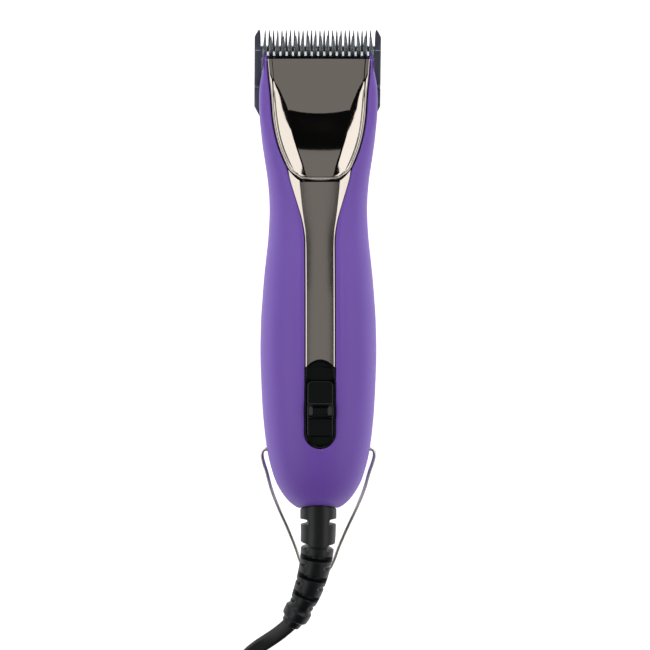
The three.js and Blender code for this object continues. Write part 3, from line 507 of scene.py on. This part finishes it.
def edge_of(y):
    if y <= WELL_Y - WELL_R:
        return 0.0
    if y < WELL_Y:
        return math.sqrt(max(0, WELL_R ** 2 - (WELL_Y - y) ** 2))
    if y < 55:
        return WELL_R
    return float(EDGE(y))


ys = list(np.concatenate([[0.25, 0.6, 1.2, 2, 3], np.arange(4, 23, 1.0)]))
ys += [WELL_Y - WELL_R * math.cos(t) for t in np.linspace(0, math.pi / 2, 20)]
ys += list(np.arange(31, 100, 1.5)) + list(np.arange(100, 174.2, 0.9))
ys = sorted(set(round(float(y), 4) for y in ys if y < 174.3))
rows = []
NT = 40


def front_section(y, shrink=0.0, extra=0.0):
    a, h, n_ = float(WIDTH(y)) - shrink, float(CROWN(y)) - shrink * 0.8, float(SQUARE(y))
    xe = edge_of(y)
    r = min(0.55, xe * 0.5)
    depth = min(3.0, xe * 1.6)
    pts = [(a - 0.22, y, SPLIT + 0.07), (a - 0.05, y, SPLIT + 0.13)]
    te = math.acos(min(1, ((xe + r) / a)) ** (n_ / 2)) if xe + r < a else 0.01
    for k in range(NT + 1):
        u = k / NT
        th = te * (0.35 * u * u + 0.65 * u) if n_ < 3 else te * u
        if k == 0:
            th = 0.004
        x, z = a * math.cos(th) ** (2 / n_), SPLIT + 0.2 + (h - 0.2) * math.sin(th) ** (2 / n_)
        if 50 < y < 124:
            z += (0.2 + 0.16 * min(1, (y - 50) / 35)) * 1.1 * math.exp(-((x - xe - 1.5) / 0.7) ** 2) * min(1, (y - 50) / 8) * min(1, (124 - y) / 10)
        pts.append((x, y, z))
    zt = pts[-1][2]
    for k in range(1, 6):
        p_ = math.pi / 2 * k / 5
        pts.append((xe + r * (1 - math.sin(p_)), y, zt - r * (1 - math.cos(p_))))
    pts.append((xe, y, zt - r - depth * 0.5))
    pts.append((xe, y, zt - r - depth))
    # ledge under the strip, so the groove has a floor
    ledge = 0.9 * min(1, max(0, (y - 54) / 2)) * min(1, max(0, (124 - y) / 2))
    pts.append((xe - ledge, y, zt - r - depth - 0.02))
    if y < 5:
        k = 1.4 * (1 - y / 5) ** 2
        pts = [(x, yy + k * min(1, max(0, (z - SPLIT) / h)) ** 1.5, z) for x, yy, z in pts]
    return pts


tail = []
for (a, h, y) in ((6.55, 6.55, 3.4), (6.55, 6.55, 0.6), (6.75, 6.7, 0.2), (7.3, 6.95, 0.02)):
    pts = [(a, y, SPLIT + 0.07), (a, y, SPLIT + 0.13)]
    for k in range(NT + 1):
        th = math.pi / 2 * k / NT
        pts.append((a * math.cos(th), y + 1.4 * math.sin(th) ** 1.5, SPLIT + 0.13 + h * math.sin(th)))
    pts += [(0, y + 1.4, SPLIT + 0.13 + h)] * 8
    tail.append(pts)
rows = tail + [front_section(y) for y in ys]
for y, sh in ((174.6, 0.05), (175.0, 0.25), (175.25, 0.55), (175.38, 0.95)):
    sec = front_section(174.3, sh)
    rows.append([(x, y, z) for x, _, z in sec])
cols = len(rows[0])
v = [p for r in rows for p in r]
right = grid(len(rows), cols)
v2 = [(-x, y, z) for x, y, z in v]
front = make("front_shell", v + v2, right + [tuple(len(v) + i for i in f_)[::-1] for f_ in right])
tidy(front, recalc=False)
if sum(p.normal.z * p.area for p in front.data.polygons) < 0:
    front.data.flip_normals()
thicken(front, 1.5)


# ------------------------------------------------------------------ rear housing
def rear_section(y, shrink=0.0):
    a, h, n_ = float(WIDTH(y)) - shrink, float(BELLY(y)) - shrink * 0.8, float(SQUARE(y))
    pts = [(a - 0.22, y, SPLIT - 0.07), (a - 0.05, y, SPLIT - 0.13)]
    half = []
    for k in range(NT + 1):
        th = max(0.004, math.pi / 2 * k / NT)
        x, z = a * math.cos(th) ** (2 / n_), SPLIT - 0.2 - (h - 0.2) * math.sin(th) ** (2 / n_)
        lo = 0.0
        if y >= 138.49:
            lo = PIN_Z + (3.3 / CT) + (y - PIN_Y) * math.tan(TILT)
        half.append((x if k < NT else 0.0, y, max(z, lo)))
    return pts + half + [(-x, yy, z) for x, yy, z in half[:-1][::-1]] + [(-x, yy, z) for x, yy, z in pts[::-1]]


rows = []
for (a, h, y) in ((6.55, 6.55, 2.6), (6.55, 6.55, 0.6), (6.75, 6.7, 0.2), (7.3, 6.95, 0.02)):
    pts = [(a, y, SPLIT - 0.07), (a, y, SPLIT - 0.13)]
    half = [(a * math.cos(math.pi / 2 * k / NT), y, SPLIT - 0.13 - h * math.sin(math.pi / 2 * k / NT)) for k in range(NT + 1)]
    rows.append(pts + half + [(-x, yy, z) for x, yy, z in half[:-1][::-1]] + [(-x, yy, z) for x, yy, z in pts[::-1]])
yr = sorted(set(list(np.round(np.concatenate([[0.25, 0.6, 1.2, 2, 3], np.arange(4, 138, 1.4), [138.45, 138.5], np.arange(139.5, 174, 1.4)]), 3))))
rows += [rear_section(float(y)) for y in yr]
for y, sh in ((174.6, 0.05), (175.0, 0.25), (175.25, 0.55), (175.38, 0.95), (175.4, 4.0), (175.4, 9.0)):
    sec = rear_section(174.3, min(sh, 0.95))
    if sh > 1:
        sec = [(x * (1 - 0.09 * (sh - 0.95)), y, SPLIT - (SPLIT - z) * (1 - 0.09 * (sh - 0.95))) for x, _, z in sec]
    rows.append([(x, y, z) for x, _, z in sec])
# close the head's front wall
cols = len(rows[0])
v = [p for r in rows for p in r]
rear = make("rear_shell", v, grid(len(rows), cols))
tidy(rear, recalc=False)
if sum(p.normal.z * p.area for p in rear.data.polygons) > 0:
    rear.data.flip_normals()
thicken(rear, 1.5)
rear = cut(rear, [
    block(-5.9, 5.9, 124.2, 142, -5, 9.4),
    block(-9, 9, 97, 113, -5, 8),
    block(-5.5, 5.5, 11, 21.5, 2.3, 9, to=blade),
    drum(2.9, -5, 7, -12, 20), drum(2.9, -5, 7, 12, 20), drum(2.9, -5, 7.5, -12, 120), drum(2.9, -5, 7.5, 12, 120),
    drum(1.05, 14, 26, 23, 20, "x"), drum(1.05, -26, -14, 23, 20, "x"),
])
smooth(rear, 32)
dress(rear, "purple_housing", "housing", ["rear_housing"])
rear.data.materials.append(M["black_plastic"])          # painted shade: the head's front wall faces behind the blades get black plastic to stand for the shadowed bay
for p in rear.data.polygons:
    c = p.center
    if c.y > (175.2 - MID) * 1e-3 or (c.y > (172.5 - MID) * 1e-3 and abs(c.x) < 0.0195):
        p.material_index = 1
front = cut(front, [drum(1.05, 14, 26, 23, 20, "x"), drum(1.05, -26, -14, 23, 20, "x")])
smooth(front, 42)
dress(front, "purple_housing", "housing", ["front_housing"])
front.data.materials.append(M["black_plastic"])          # painted shade: black plastic on the groove walls along the strip and the cap stands for the dark shadow line there
for p in front.data.polygons:
    c = p.center * 1e3
    if 36 < c.y + MID < 172 and abs(p.normal.z) < 0.4 and abs(abs(c.x) - edge_of(c.y + MID)) < 0.13:
        p.material_index = 1


# ------------------------------------------------------------------ nose cap
def rim(d, y):
    """height added at distance d (mm) inside the cap's outline"""
    k = 1 - float(np.clip((y - 157) / 10, 0, 1)) * 0.93
    z = 0.0
    if d < 1.15:
        z += k * 0.34 * math.sin(math.pi * min(1, max(0, d / 1.15))) ** 0.8
    z -= k * 0.22 * math.exp(-((d - 1.45) / 0.22) ** 2)
    if d < 0.3:
        z -= 0.30 * (1 - d / 0.3) ** 2
    return z


ds = [0, 0.06, 0.14, 0.24, 0.36, 0.52, 0.7, 0.9, 1.05, 1.15, 1.25, 1.35, 1.45, 1.55, 1.7, 1.9, 2.3, 2.9]
cy = [126.9 + d for d in ds] + list(np.arange(130.2, 172.3, 0.6)) + [174.8 - d for d in (2.2, 1.6, 1.0, 0.5, 0.2, 0.08, 0.0)]
cy = sorted(set(round(float(y), 4) for y in cy))
NC = 25


INNER = pchip([[126.9, 4.4], [133, 6.4], [140, 8.8], [148, 10.6], [154.5, 11.8], [161, 14.7], [168.5, 18.3], [175.4, 19.0]])
SINK = pchip([[126.9, 0.25], [131, 0.45], [137, 0.8], [156, 0.8], [166, 0.35], [175.4, 0.1]])
BOW = pchip([[126.9, 0.0065], [134, 0.0052], [142, 0.0042], [150, 0.0035], [156, 0.0028], [175.4, 0.0026]])


def cap_z(x, y, d):
    w, xi, c = float(CAP(y)), float(INNER(y)), float(BOW(y))
    x, xi = min(abs(x), w), min(xi, w - 0.3)
    ye = y - 1.4 * (min(x, xi) / 12) ** 2 * math.exp(-((y - 153) / 6) ** 2)
    top = SPLIT + float(CROWN(ye))
    low = float(crown(w, y)) - float(SINK(y))
    fall = max(0.1, SPLIT + float(CROWN(y)) - low - c * w * w)
    fall *= min(1.0, max(0.0, (169.0 - y) / 6.0))
    t = max(0.0, x - xi) / (w - xi)
    m = 0.78 - 0.36 * min(1.0, max(0.0, (y - 138) / 14))
    return top - c * x * x - fall * (m * t + (1 - m) * t * t) + 0.35 + rim(d, y)


rows = []
for y in cy:
    w = float(CAP(y))
    xs = [w - d for d in ds if w - d > w * 0.45]
    xs += list(np.linspace(xs[-1], 0, NC + len(ds) - len(xs) + 1))[1:]
    half = []
    slope = 1.0
    dw = (float(CAP(min(y + .2, 175.4))) - float(CAP(max(y - .2, 126.9)))) / 0.4
    fac = 1 / math.sqrt(1 + dw * dw)
    for x in xs:
        d1, d2 = max(0.0, (w - x) * fac), max(0.0, y - 126.9)
        d = max(0.0, -0.3 * math.log(math.exp(-d1 / 0.3) + math.exp(-d2 / 0.3))) if max(d1, d2) < 8 else min(d1, d2)
        yb = y + 0.95 * min((x / 6.9) ** 2, 1.7) * max(0.0, 1 - (y - 126.9) / 5.5) ** 2
        half.append((x, yb, cap_z(x, yb, d)))
    skirt = [(w, half[0][1], half[0][2] - 1.2), (w, half[0][1], max(half[0][2] - 2.6, SPLIT + 0.4))][::-1]
    half = skirt + half
    rows.append([(x, y, z) for x, y, z in half] + [(-x, y, z) for x, y, z in half[:-1][::-1]])
first = [(x, y, max(z - 2.6, SPLIT + 0.4)) for x, y, z in rows[0]]
last = [(x, y, SPLIT + 0.35) for x, y, z in rows[-1]]
mid = [(x, y, z - 1.0) for x, y, z in rows[-1]]
rows = [first] + rows + [mid, last]
cols = len(rows[0])
cap = make("nose_cover", [p for r in rows for p in r], grid(len(rows), cols))
tidy(cap, recalc=False)
if sum(p.normal.z * p.area for p in cap.data.polygons) < 0:
    cap.data.flip_normals()
thicken(cap, 0.9)
smooth(cap, 50)
dress(cap, "cap_gunmetal", "housing", ["nose_cap"])

# ------------------------------------------------------------------ centre strip
sy = list(np.arange(55.05, 126.6, 0.9)) + [126.62]
sy = sorted(set(round(float(y), 3) for y in sy))


def arc_end(x):
    return 58.2 - 3.1 * (min(abs(x), 5.85) / 5.68) ** 2


def outer_w(y):
    return float(EDGE(y)) - float(INSET(y))


def strip_z(x, y):
    f_, o = float(FACE(y)), outer_w(y)
    f_ = min(f_, o - 0.2)
    bow = 0.0175 * (5.2 / f_)
    z = float(crown(0, y)) + 0.1 - bow * min(abs(x), f_) ** 2
    if abs(x) > f_:
        z -= (abs(x) - f_) * 0.52 + 0.02
    return z


def strip_rows(part):
    rows_ = []
    yy = sy if part == 0 else sy + list(np.arange(127.2, 131.3, 0.4))
    for y in yy:
        f_, o = min(float(FACE(y)), outer_w(y) - 0.2), outer_w(y)
        if part == 0:
            xs = list(np.linspace(-f_, f_, 21))
        else:
            xi = f_ if y < 126.7 else max(f_, float(CAP(y)) + 0.12)
            xs = [xi + (o - xi) * t for t in (0, 0.04, 0.12, 0.5, 0.88, 1.0)]
            zs = []
        row = []
        for x in xs:
            sgn = 1 if part >= 0 else -1
            yq = max(y, arc_end(x)) if y < 59 else y
            z = strip_z(x, yq)
            if part != 0 and abs(x - xs[0]) < 1e-6:
                z = strip_z(xs[0] - 1e-4, yq) if y < 126.7 else z
            row.append((x * (part if part else 1), yq, z))
        if part:
            row.append((row[-1][0], row[-1][1], row[-1][2] - 0.9))
        rows_.append(row)
    return rows_


v, f = [], []
for part in (0, 1, -1):
    rr = strip_rows(part)
    if part == 0:
        rr = [[(x, y, z - 1.2) for x, y, z in rr[0]]] + rr + [[(x, y, z - 1.2) for x, y, z in rr[-1]]]
    else:
        rr = [[(x, y, z - 1.2) for x, y, z in rr[0]]] + rr + [[(x, y, z - 1.0) for x, y, z in rr[-1]]]
    g = grid(len(rr), len(rr[0]), base=len(v))
    f += [q_[::-1] for q_ in g] if part == -1 else g
    v += [p for r in rr for p in r]
strip = make("centre_trim", v, f)
tidy(strip, dist=1e-5, recalc=False)
if sum(p.normal.z * p.area for p in strip.data.polygons) < 0:
    strip.data.flip_normals()
bm = bmesh.new(); bm.from_mesh(strip.data)
bmesh.ops.recalc_face_normals(bm, faces=bm.faces)
if sum(fa.normal.z * fa.calc_area() for fa in bm.faces) < 0:
    bmesh.ops.reverse_faces(bm, faces=bm.faces)
bm.to_mesh(strip.data); bm.free()
thicken(strip, 0.7)
smooth(strip, 20)
dress(strip, "strip_gunmetal", "housing", ["centre_strip"])


# ------------------------------------------------------------------ switch
def well(g, n1=36, n2=16):
    r = 5.78 + g
    p = [(r * math.cos(math.pi + math.pi * k / n1), WELL_Y + r * math.sin(math.pi + math.pi * k / n1)) for k in range(n1 + 1)]
    for k in range(n2 + 1):
        x = r - 2 * r * k / n2
        p.append((x, 57.95 + g - 3.1 * (x / 5.68) ** 2))
    return p


rings = []
for g, dz in ((-0.02, -2.8), (0, -0.5), (-0.06, -0.3), (-0.16, -0.22), (-0.34, -0.22), (-0.44, -0.3), (-0.5, -0.5), (-0.5, -2.4), (-0.62, -2.7), (-0.9, -2.8), (-2.5, -2.8), (-5.0, -2.8)):
    rings.append([(x, y, float(crown(0, y)) + dz) for x, y in well(g)])
bez = tube("switch_well", rings, caps=False)
bm = bmesh.new(); bm.from_mesh(bez.data)
bmesh.ops.holes_fill(bm, edges=[e for e in bm.edges if e.is_boundary], sides=0)
bmesh.ops.recalc_face_normals(bm, faces=bm.faces)
bmesh.ops.triangulate(bm, faces=[fa for fa in bm.faces if len(fa.verts) > 4])
bm.to_mesh(bez.data); bm.free()
smooth(bez, 40)
dress(bez, "black_plastic", "housing", ["switch_bezel"])

Y0, Y1, HW, CR = 27.9, 49.9, 5.03, 1.9
prof = pchip([[27.9, 0.25], [28.3, 0.62], [29.2, 0.82], [32, 0.62], [34.8, 0.78], [35.5, 0.95], [36.1, 1.75], [37.2, 2.05], [39.6, 2.05], [40.6, 1.8], [41.1, 0.95], [41.7, 0.78],
              [45.5, 0.5], [48.8, 0.85], [49.5, 0.68], [49.9, 0.25]])
syy = sorted(set([Y0 + CR * (1 - math.cos(t)) for t in np.linspace(0, math.pi / 2, 9)] + [Y1 - CR * (1 - math.cos(t)) for t in np.linspace(0, math.pi / 2, 9)] + list(np.arange(30, 48, 0.35))))
rows = []
for y in syy:
    dy = min(y - Y0, Y1 - y)
    w = HW - CR + math.sqrt(max(0, CR * CR - max(0, CR - dy) ** 2)) if dy < CR else HW
    us = np.sin(np.linspace(-1, 1, 33) * math.pi / 2)
    row = []
    for u in us:
        x = u * w
        z = float(prof(y))
        ridge = math.exp(-((y - 38.4) / 1.9) ** 4)
        z -= ridge * 1.05 * min(1.0, max(0.0, (4.75 - abs(x)) / 2.0))
        pad = 1 - ridge
        z -= pad * 0.16 * math.exp(-(x / 3.6) ** 4)
        e = 1 - abs(x) / w
        z -= 0.5 * max(0, 1 - e / 0.10) ** 2
        row.append((x, y, float(crown(0, y)) + z))
    rows.append([(row[0][0], y, float(crown(0, y)) - 1.4)] + row + [(row[-1][0], y, float(crown(0, y)) - 1.4)])
rows = [[(x, y, float(crown(0, y)) - 1.4) for x, y, z in rows[0]]] + rows + [[(x, y, float(crown(0, y)) - 1.4) for x, y, z in rows[-1]]]
cols = len(rows[0])
sl = make("switch_thumb", [p for r in rows for p in r], grid(len(rows), cols))
tidy(sl, recalc=False)
bm = bmesh.new(); bm.from_mesh(sl.data)
bmesh.ops.holes_fill(bm, edges=[e for e in bm.edges if e.is_boundary], sides=0)
bmesh.ops.recalc_face_normals(bm, faces=bm.faces)
bm.to_mesh(sl.data); bm.free()
smooth(sl, 48)
dress(sl, "black_plastic", "slider", ["switch_slider"])


# ------------------------------------------------------------------ blade set
def toothed(name, cols_, rows_, teeth, zt, zb):
    """A plate with teeth in one closed mesh. cols_ are the x of the plate's columns at the root line,
    rows_ are (y, half width) of the plate from heel to root, teeth are (first column, [(y, xl, xr, ztop, zbottom)...])."""
    v, f = [], []
    nc = len(cols_)
    full = cols_[-1]

    def put(p):
        v.append(blade(*p))
        return len(v) - 1
    top, bot = [], []
    for y, hw in rows_:
        top.append([put((x * hw / full, y, zt(x * hw / full, y))) for x in cols_])
        bot.append([put((x * hw / full, y, zb(x * hw / full, y))) for x in cols_])
    for i in range(len(rows_) - 1):
        for j in range(nc - 1):
            f.append((top[i][j], top[i][j + 1], top[i + 1][j + 1], top[i + 1][j]))
            f.append((bot[i][j + 1], bot[i][j], bot[i + 1][j], bot[i + 1][j + 1]))
        f.append((top[i][0], top[i + 1][0], bot[i + 1][0], bot[i][0]))
        f.append((top[i + 1][-1], top[i][-1], bot[i][-1], bot[i + 1][-1]))
    for j in range(nc - 1):
        f.append((top[0][j + 1], top[0][j], bot[0][j], bot[0][j + 1]))
    start = {c: rows for c, rows in teeth}
    for j in range(nc - 1):
        tl, tr, bl, br = top[-1][j], top[-1][j + 1], bot[-1][j], bot[-1][j + 1]
        if j not in start:
            f.append((tl, tr, br, bl))
            continue
        for y, xl, xr, z1_, z0_ in start[j]:
            a, b, c, d = put((xl, y, z1_)), put((xr, y, z1_)), put((xl, y, z0_)), put((xr, y, z0_))
            f += [(tl, tr, b, a), (br, bl, c, d), (bl, tl, a, c), (tr, br, d, b)]
            tl, tr, bl, br = a, b, c, d
        f.append((tl, tr, br, bl))
    ob = make(name, v, f)
    return tidy(ob)


PITCH, NTEETH = 1.65, 26
cols_, teeth = [-24.75, -22.35], []
side = lambda s: [(31.5, *sorted((s * 22.35, s * 24.75)), -1.9, -3.95), (33.6, *sorted((s * 22.4, s * 24.75)), -2.0, -3.8), (35.4, *sorted((s * 22.5, s * 23.8)), -2.2, -3.6), (36.4, *sorted((s * 22.75, s * 23.15)), -2.5, -3.3)]
teeth.append((0, side(-1)))
for i in range(NTEETH):
    x = (i - (NTEETH - 1) / 2) * PITCH
    cols_ += [x - 0.5, x + 0.5]
    teeth.append((2 + 2 * i, [(30.5, x - 0.44, x + 0.44, -1.65, -3.9), (33, x - 0.36, x + 0.36, -1.85, -3.7), (35, x - 0.26, x + 0.26, -2.1, -3.45), (36.0, x - 0.15, x + 0.15, -2.4, -3.2), (36.4, x - 0.06, x + 0.06, -2.65, -3.0)]))
cols_ += [22.35, 24.75]
teeth.append((len(cols_) - 2, side(1)))


def comb_top(x, y):
    z = -1.6
    if abs(x) > 22.2:
        if 13.05 < y < 14.45:
            z -= 0.75
        if y > 28.4:
            z -= 0.3
    if y < 2.25:
        z -= 0.3
    return z


comb = toothed("comb_plate", cols_, [(2.0, 22.4), (2.3, 22.8), (6.0, 24.75), (12.9, 24.75), (13.1, 24.75), (14.4, 24.75), (14.6, 24.75), (28.3, 24.75), (28.5, 24.75), (29.9, 24.75)],
               teeth, comb_top, lambda x, y: -4.0 + (0.3 if y < 2.25 else 0))
comb = cut(comb, [drum(1.3, -6, 0, -12.6, 7.5, to=blade), drum(1.3, -6, 0, 12.6, 7.5, to=blade), drum(2.5, -6, -2.75, -12.6, 7.5, to=blade), drum(2.5, -6, -2.75, 12.6, 7.5, to=blade)])
comb = bevel(comb, 0.09, 2, 35)
smooth(comb, 30)
dress(comb, "comb_steel", "blade_set", ["blade_comb"])

def cutter_top(x, y):
    if y < 13.3:
        return 1.1
    if y > 24.6:
        return 0.55
    return 1.4


CP = 2.45
cols_, teeth = [-22.0, -21.8], []
for i in range(18):
    x = (i - 8.5) * CP
    cols_ += [x - 0.86, x + 0.86]
    teeth.append((2 + 2 * i, [(26.5, x - 0.84, x + 0.84, 1.4, -1.3), (29.3, x - 0.78, x + 0.78, 1.4, -1.3), (29.6, x - 0.76, x + 0.76, 1.2, -1.3), (31.6, x - 0.52, x + 0.52, 0.25, -1.3), (33.4, x - 0.28, x + 0.28, -0.5, -1.3),
                              (34.4, x - 0.1, x + 0.1, -0.95, -1.3)]))
cols_ += [21.8, 22.0]
cutter = toothed("cutter_plate", cols_, [(13, 20.5), (13.3, 20.8), (14.5, 22), (22, 22), (24.5, 22), (24.75, 22), (26.2, 22)], teeth, cutter_top, lambda x, y: -1.3)
# the floor of each gap ramps up to the root
ramps = []
for i in range(17):
    x = (i - 8) * CP
    c = [blade(x + a, y, z) for a in (-0.42, 0.42) for y, z in ((26.1, 1.0), (26.8, 1.2), (28.3, -0.3), (28.45, -1.25), (26.1, -1.25))]
    r_ = tidy(make("cutter", c, [(0, 1, 2, 3, 4)[::-1], (5, 6, 7, 8, 9), (0, 1, 6, 5), (1, 2, 7, 6), (2, 3, 8, 7), (3, 4, 9, 8), (4, 0, 5, 9)]))
    ramps.append(r_)
for r_ in ramps:
    md = cutter.modifiers.new("join", "BOOLEAN")
    md.operation, md.solver, md.object = "UNION", "EXACT", r_
    apply_mods(cutter)
    bpy.data.objects.remove(r_)
cutter = cut(cutter, [block(-1.95, 1.95, 10, 20, -3, 3, to=blade)])
cutter = bevel(cutter, 0.1, 2, 35)
smooth(cutter, 30)
dress(cutter, "cutter_steel", "cutter", ["blade_cutter"])


# ------------------------------------------------------------------ hanging bail
half = [[17.1, 23], [19.8, 23], [21.0, 22.9], [21.75, 22.3], [22.0, 21.2], [21.85, 19.6], [21.2, 17.2], [20.2, 14.2], [18.2, 7], [15.1, -0.8], [11.6, -8.6], [8.4, -16.4], [6.6, -21.5], [4.7, -25], [2.2, -26.4], [0, -26.6]]
bz = lambda y: SPLIT - max(0, 22.6 - y) * (SPLIT - 1.1) / 49.2
pts = [(x, y, bz(y)) for x, y in half] + [(-x, y, bz(y)) for x, y in half[:-1][::-1]]
bp = curve_points(pts, 0.6)
btan = np.gradient(bp, axis=0); btan /= np.linalg.norm(btan, axis=1)[:, None]
rings, ref = [], np.array([0, 0.36, 0.93])
for i, (p, t) in enumerate(zip(bp, btan)):
    u = ref - t * ref.dot(t); u /= np.linalg.norm(u)
    w = np.cross(t, u)
    rad = 0.75 * (0.7 if i in (0, len(bp) - 1) else 1)
    rings.append([tuple(p + rad * (u * math.cos(2 * math.pi * k / 16) + w * math.sin(2 * math.pi * k / 16))) for k in range(16)])
bail = tube("wire_bail", rings)
smooth(bail, 50)
dress(bail, "bail_wire", "bail", ["hanging_bail"])


# ------------------------------------------------------------------ refined copies of the machined pieces
def refined(node, width=0.15, body="housing", angle=32):
    src = frame["nodes"][node]
    me = src.data.copy()
    ob = bpy.data.objects.new(node + "_finished", me)
    bpy.context.scene.collection.objects.link(ob)
    bm = bmesh.new(); bm.from_mesh(me)
    if node.startswith("housing_screw"):
        top = 0.0066 if node[-1] in "ab" else 0.0071
        for vert in bm.verts:
            if vert.co.z < top:
                vert.co.z = top - (top - vert.co.z) * 0.32
    bmesh.ops.remove_doubles(bm, verts=bm.verts, dist=3e-6)
    bmesh.ops.dissolve_limit(bm, angle_limit=math.radians(1.0), verts=bm.verts, edges=bm.edges)
    bmesh.ops.recalc_face_normals(bm, faces=bm.faces)
    bm.to_mesh(me); bm.free()
    bevel(ob, width, 2, angle)
    smooth(ob, 32)
    slot_ = next(s["material_slot"] for s in frame["record"]["subparts"] if s["node"] == node)
    dress(ob, slot_, body, [node])
    return ob


for node, w, body in (("hinge_bracket", .2, "housing"), ("hinge_tongue", .15, "tongue"), ("latch_button", .3, "latch"), ("intake_screen", .15, "housing"),
                      ("blade_socket", .15, "blade_set"), ("tension_spring_left", .08, "blade_set"), ("tension_spring_right", .08, "blade_set"),
                      ("blade_screw_left", .12, "blade_set"), ("blade_screw_right", .12, "blade_set"), ("hinge_screw_left", .12, "housing"), ("hinge_screw_right", .12, "housing"),
                      ("housing_screw_a", .12, "housing"), ("housing_screw_b", .12, "housing"), ("housing_screw_c", .12, "housing"), ("housing_screw_d", .12, "housing"),
                      ("drive_lever", .2, "lever")):
    refined(node, w, body)

# every other node of the frame keeps its shape and gets its material
slots = {s["node"]: s["material_slot"] for s in frame["record"]["subparts"]}
for node, ob in frame["nodes"].items():
    ob.data.materials.clear()
    ob.data.materials.append(M[slots[node]])

# ------------------------------------------------------------------ stage
me = bpy.data.meshes.new("floor")
me.from_pydata([(-3, -3, -0.0002), (3, -3, -0.0002), (3, 3, -0.0002), (-3, 3, -0.0002)], [], [(0, 1, 2, 3)])
floor = bpy.data.objects.new("floor", me)
bpy.context.scene.collection.objects.link(floor)
fm = bpy.data.materials.new("floor_paper")
fm.use_nodes = True
fb = fm.node_tree.nodes["Principled BSDF"]
fb.inputs["Base Color"].default_value = (0.93, 0.93, 0.93, 1)
fb.inputs["Roughness"].default_value = 0.9
fb.inputs["Specular IOR Level"].default_value = 0.1
fb.inputs["Emission Color"].default_value = (1, 1, 1, 1)
fb.inputs["Emission Strength"].default_value = 0.72
floor.data.materials.append(fm)


def panel(name, loc, aim, w, h, radiance, colour=(1, 1, 1)):
    """a soft panel of a given brightness, w across and h along the object"""
    d = bpy.data.lights.new(name, "AREA")
    d.shape, d.size, d.size_y = "RECTANGLE", w, h
    d.energy, d.color = radiance * math.pi * w * h, colour
    o = bpy.data.objects.new(name, d)
    bpy.context.scene.collection.objects.link(o)
    z = (Vector(loc) - Vector(aim)).normalized()
    y = Vector((0, 1, 0)) if abs(z.y) < 0.7 else Vector((0, 0, 1))
    x = y.cross(z).normalized()
    y = z.cross(x)
    o.matrix_world = Matrix((x, y, z)).transposed().to_4x4()
    o.location = loc
    return o


panel("soft_left", (-1.12, 0.75, 1.0), (0, 0.75, 0.02), 1.0, 3.9, 2.15, (1, 0.985, 0.965))
panel("soft_right", (1.18, 0.75, 0.93), (0, 0.75, 0.02), 0.88, 3.9, 2.25, (1, 0.985, 0.965))
panel("soft_over_a", (0.06, -0.71, 2.35), (0.06, -0.71, 0), 1.56, 2.56, 0.35, (1, 0.985, 0.965))
panel("soft_over_b", (0.05, 1.03, 2.35), (0.05, 1.03, 0), 1.22, 0.92, 0.35, (1, 0.985, 0.965))
panel("soft_front", (0, 1.85, 0.9), (0, 0.1, 0.02), 2.4, 0.66, 2.4)
world = bpy.data.worlds.new("world")
bpy.context.scene.world = world
world.use_nodes = True
world.node_tree.nodes["Background"].inputs["Color"].default_value = (0.9, 0.93, 1.0, 1)
world.node_tree.nodes["Background"].inputs["Strength"].default_value = 0.006
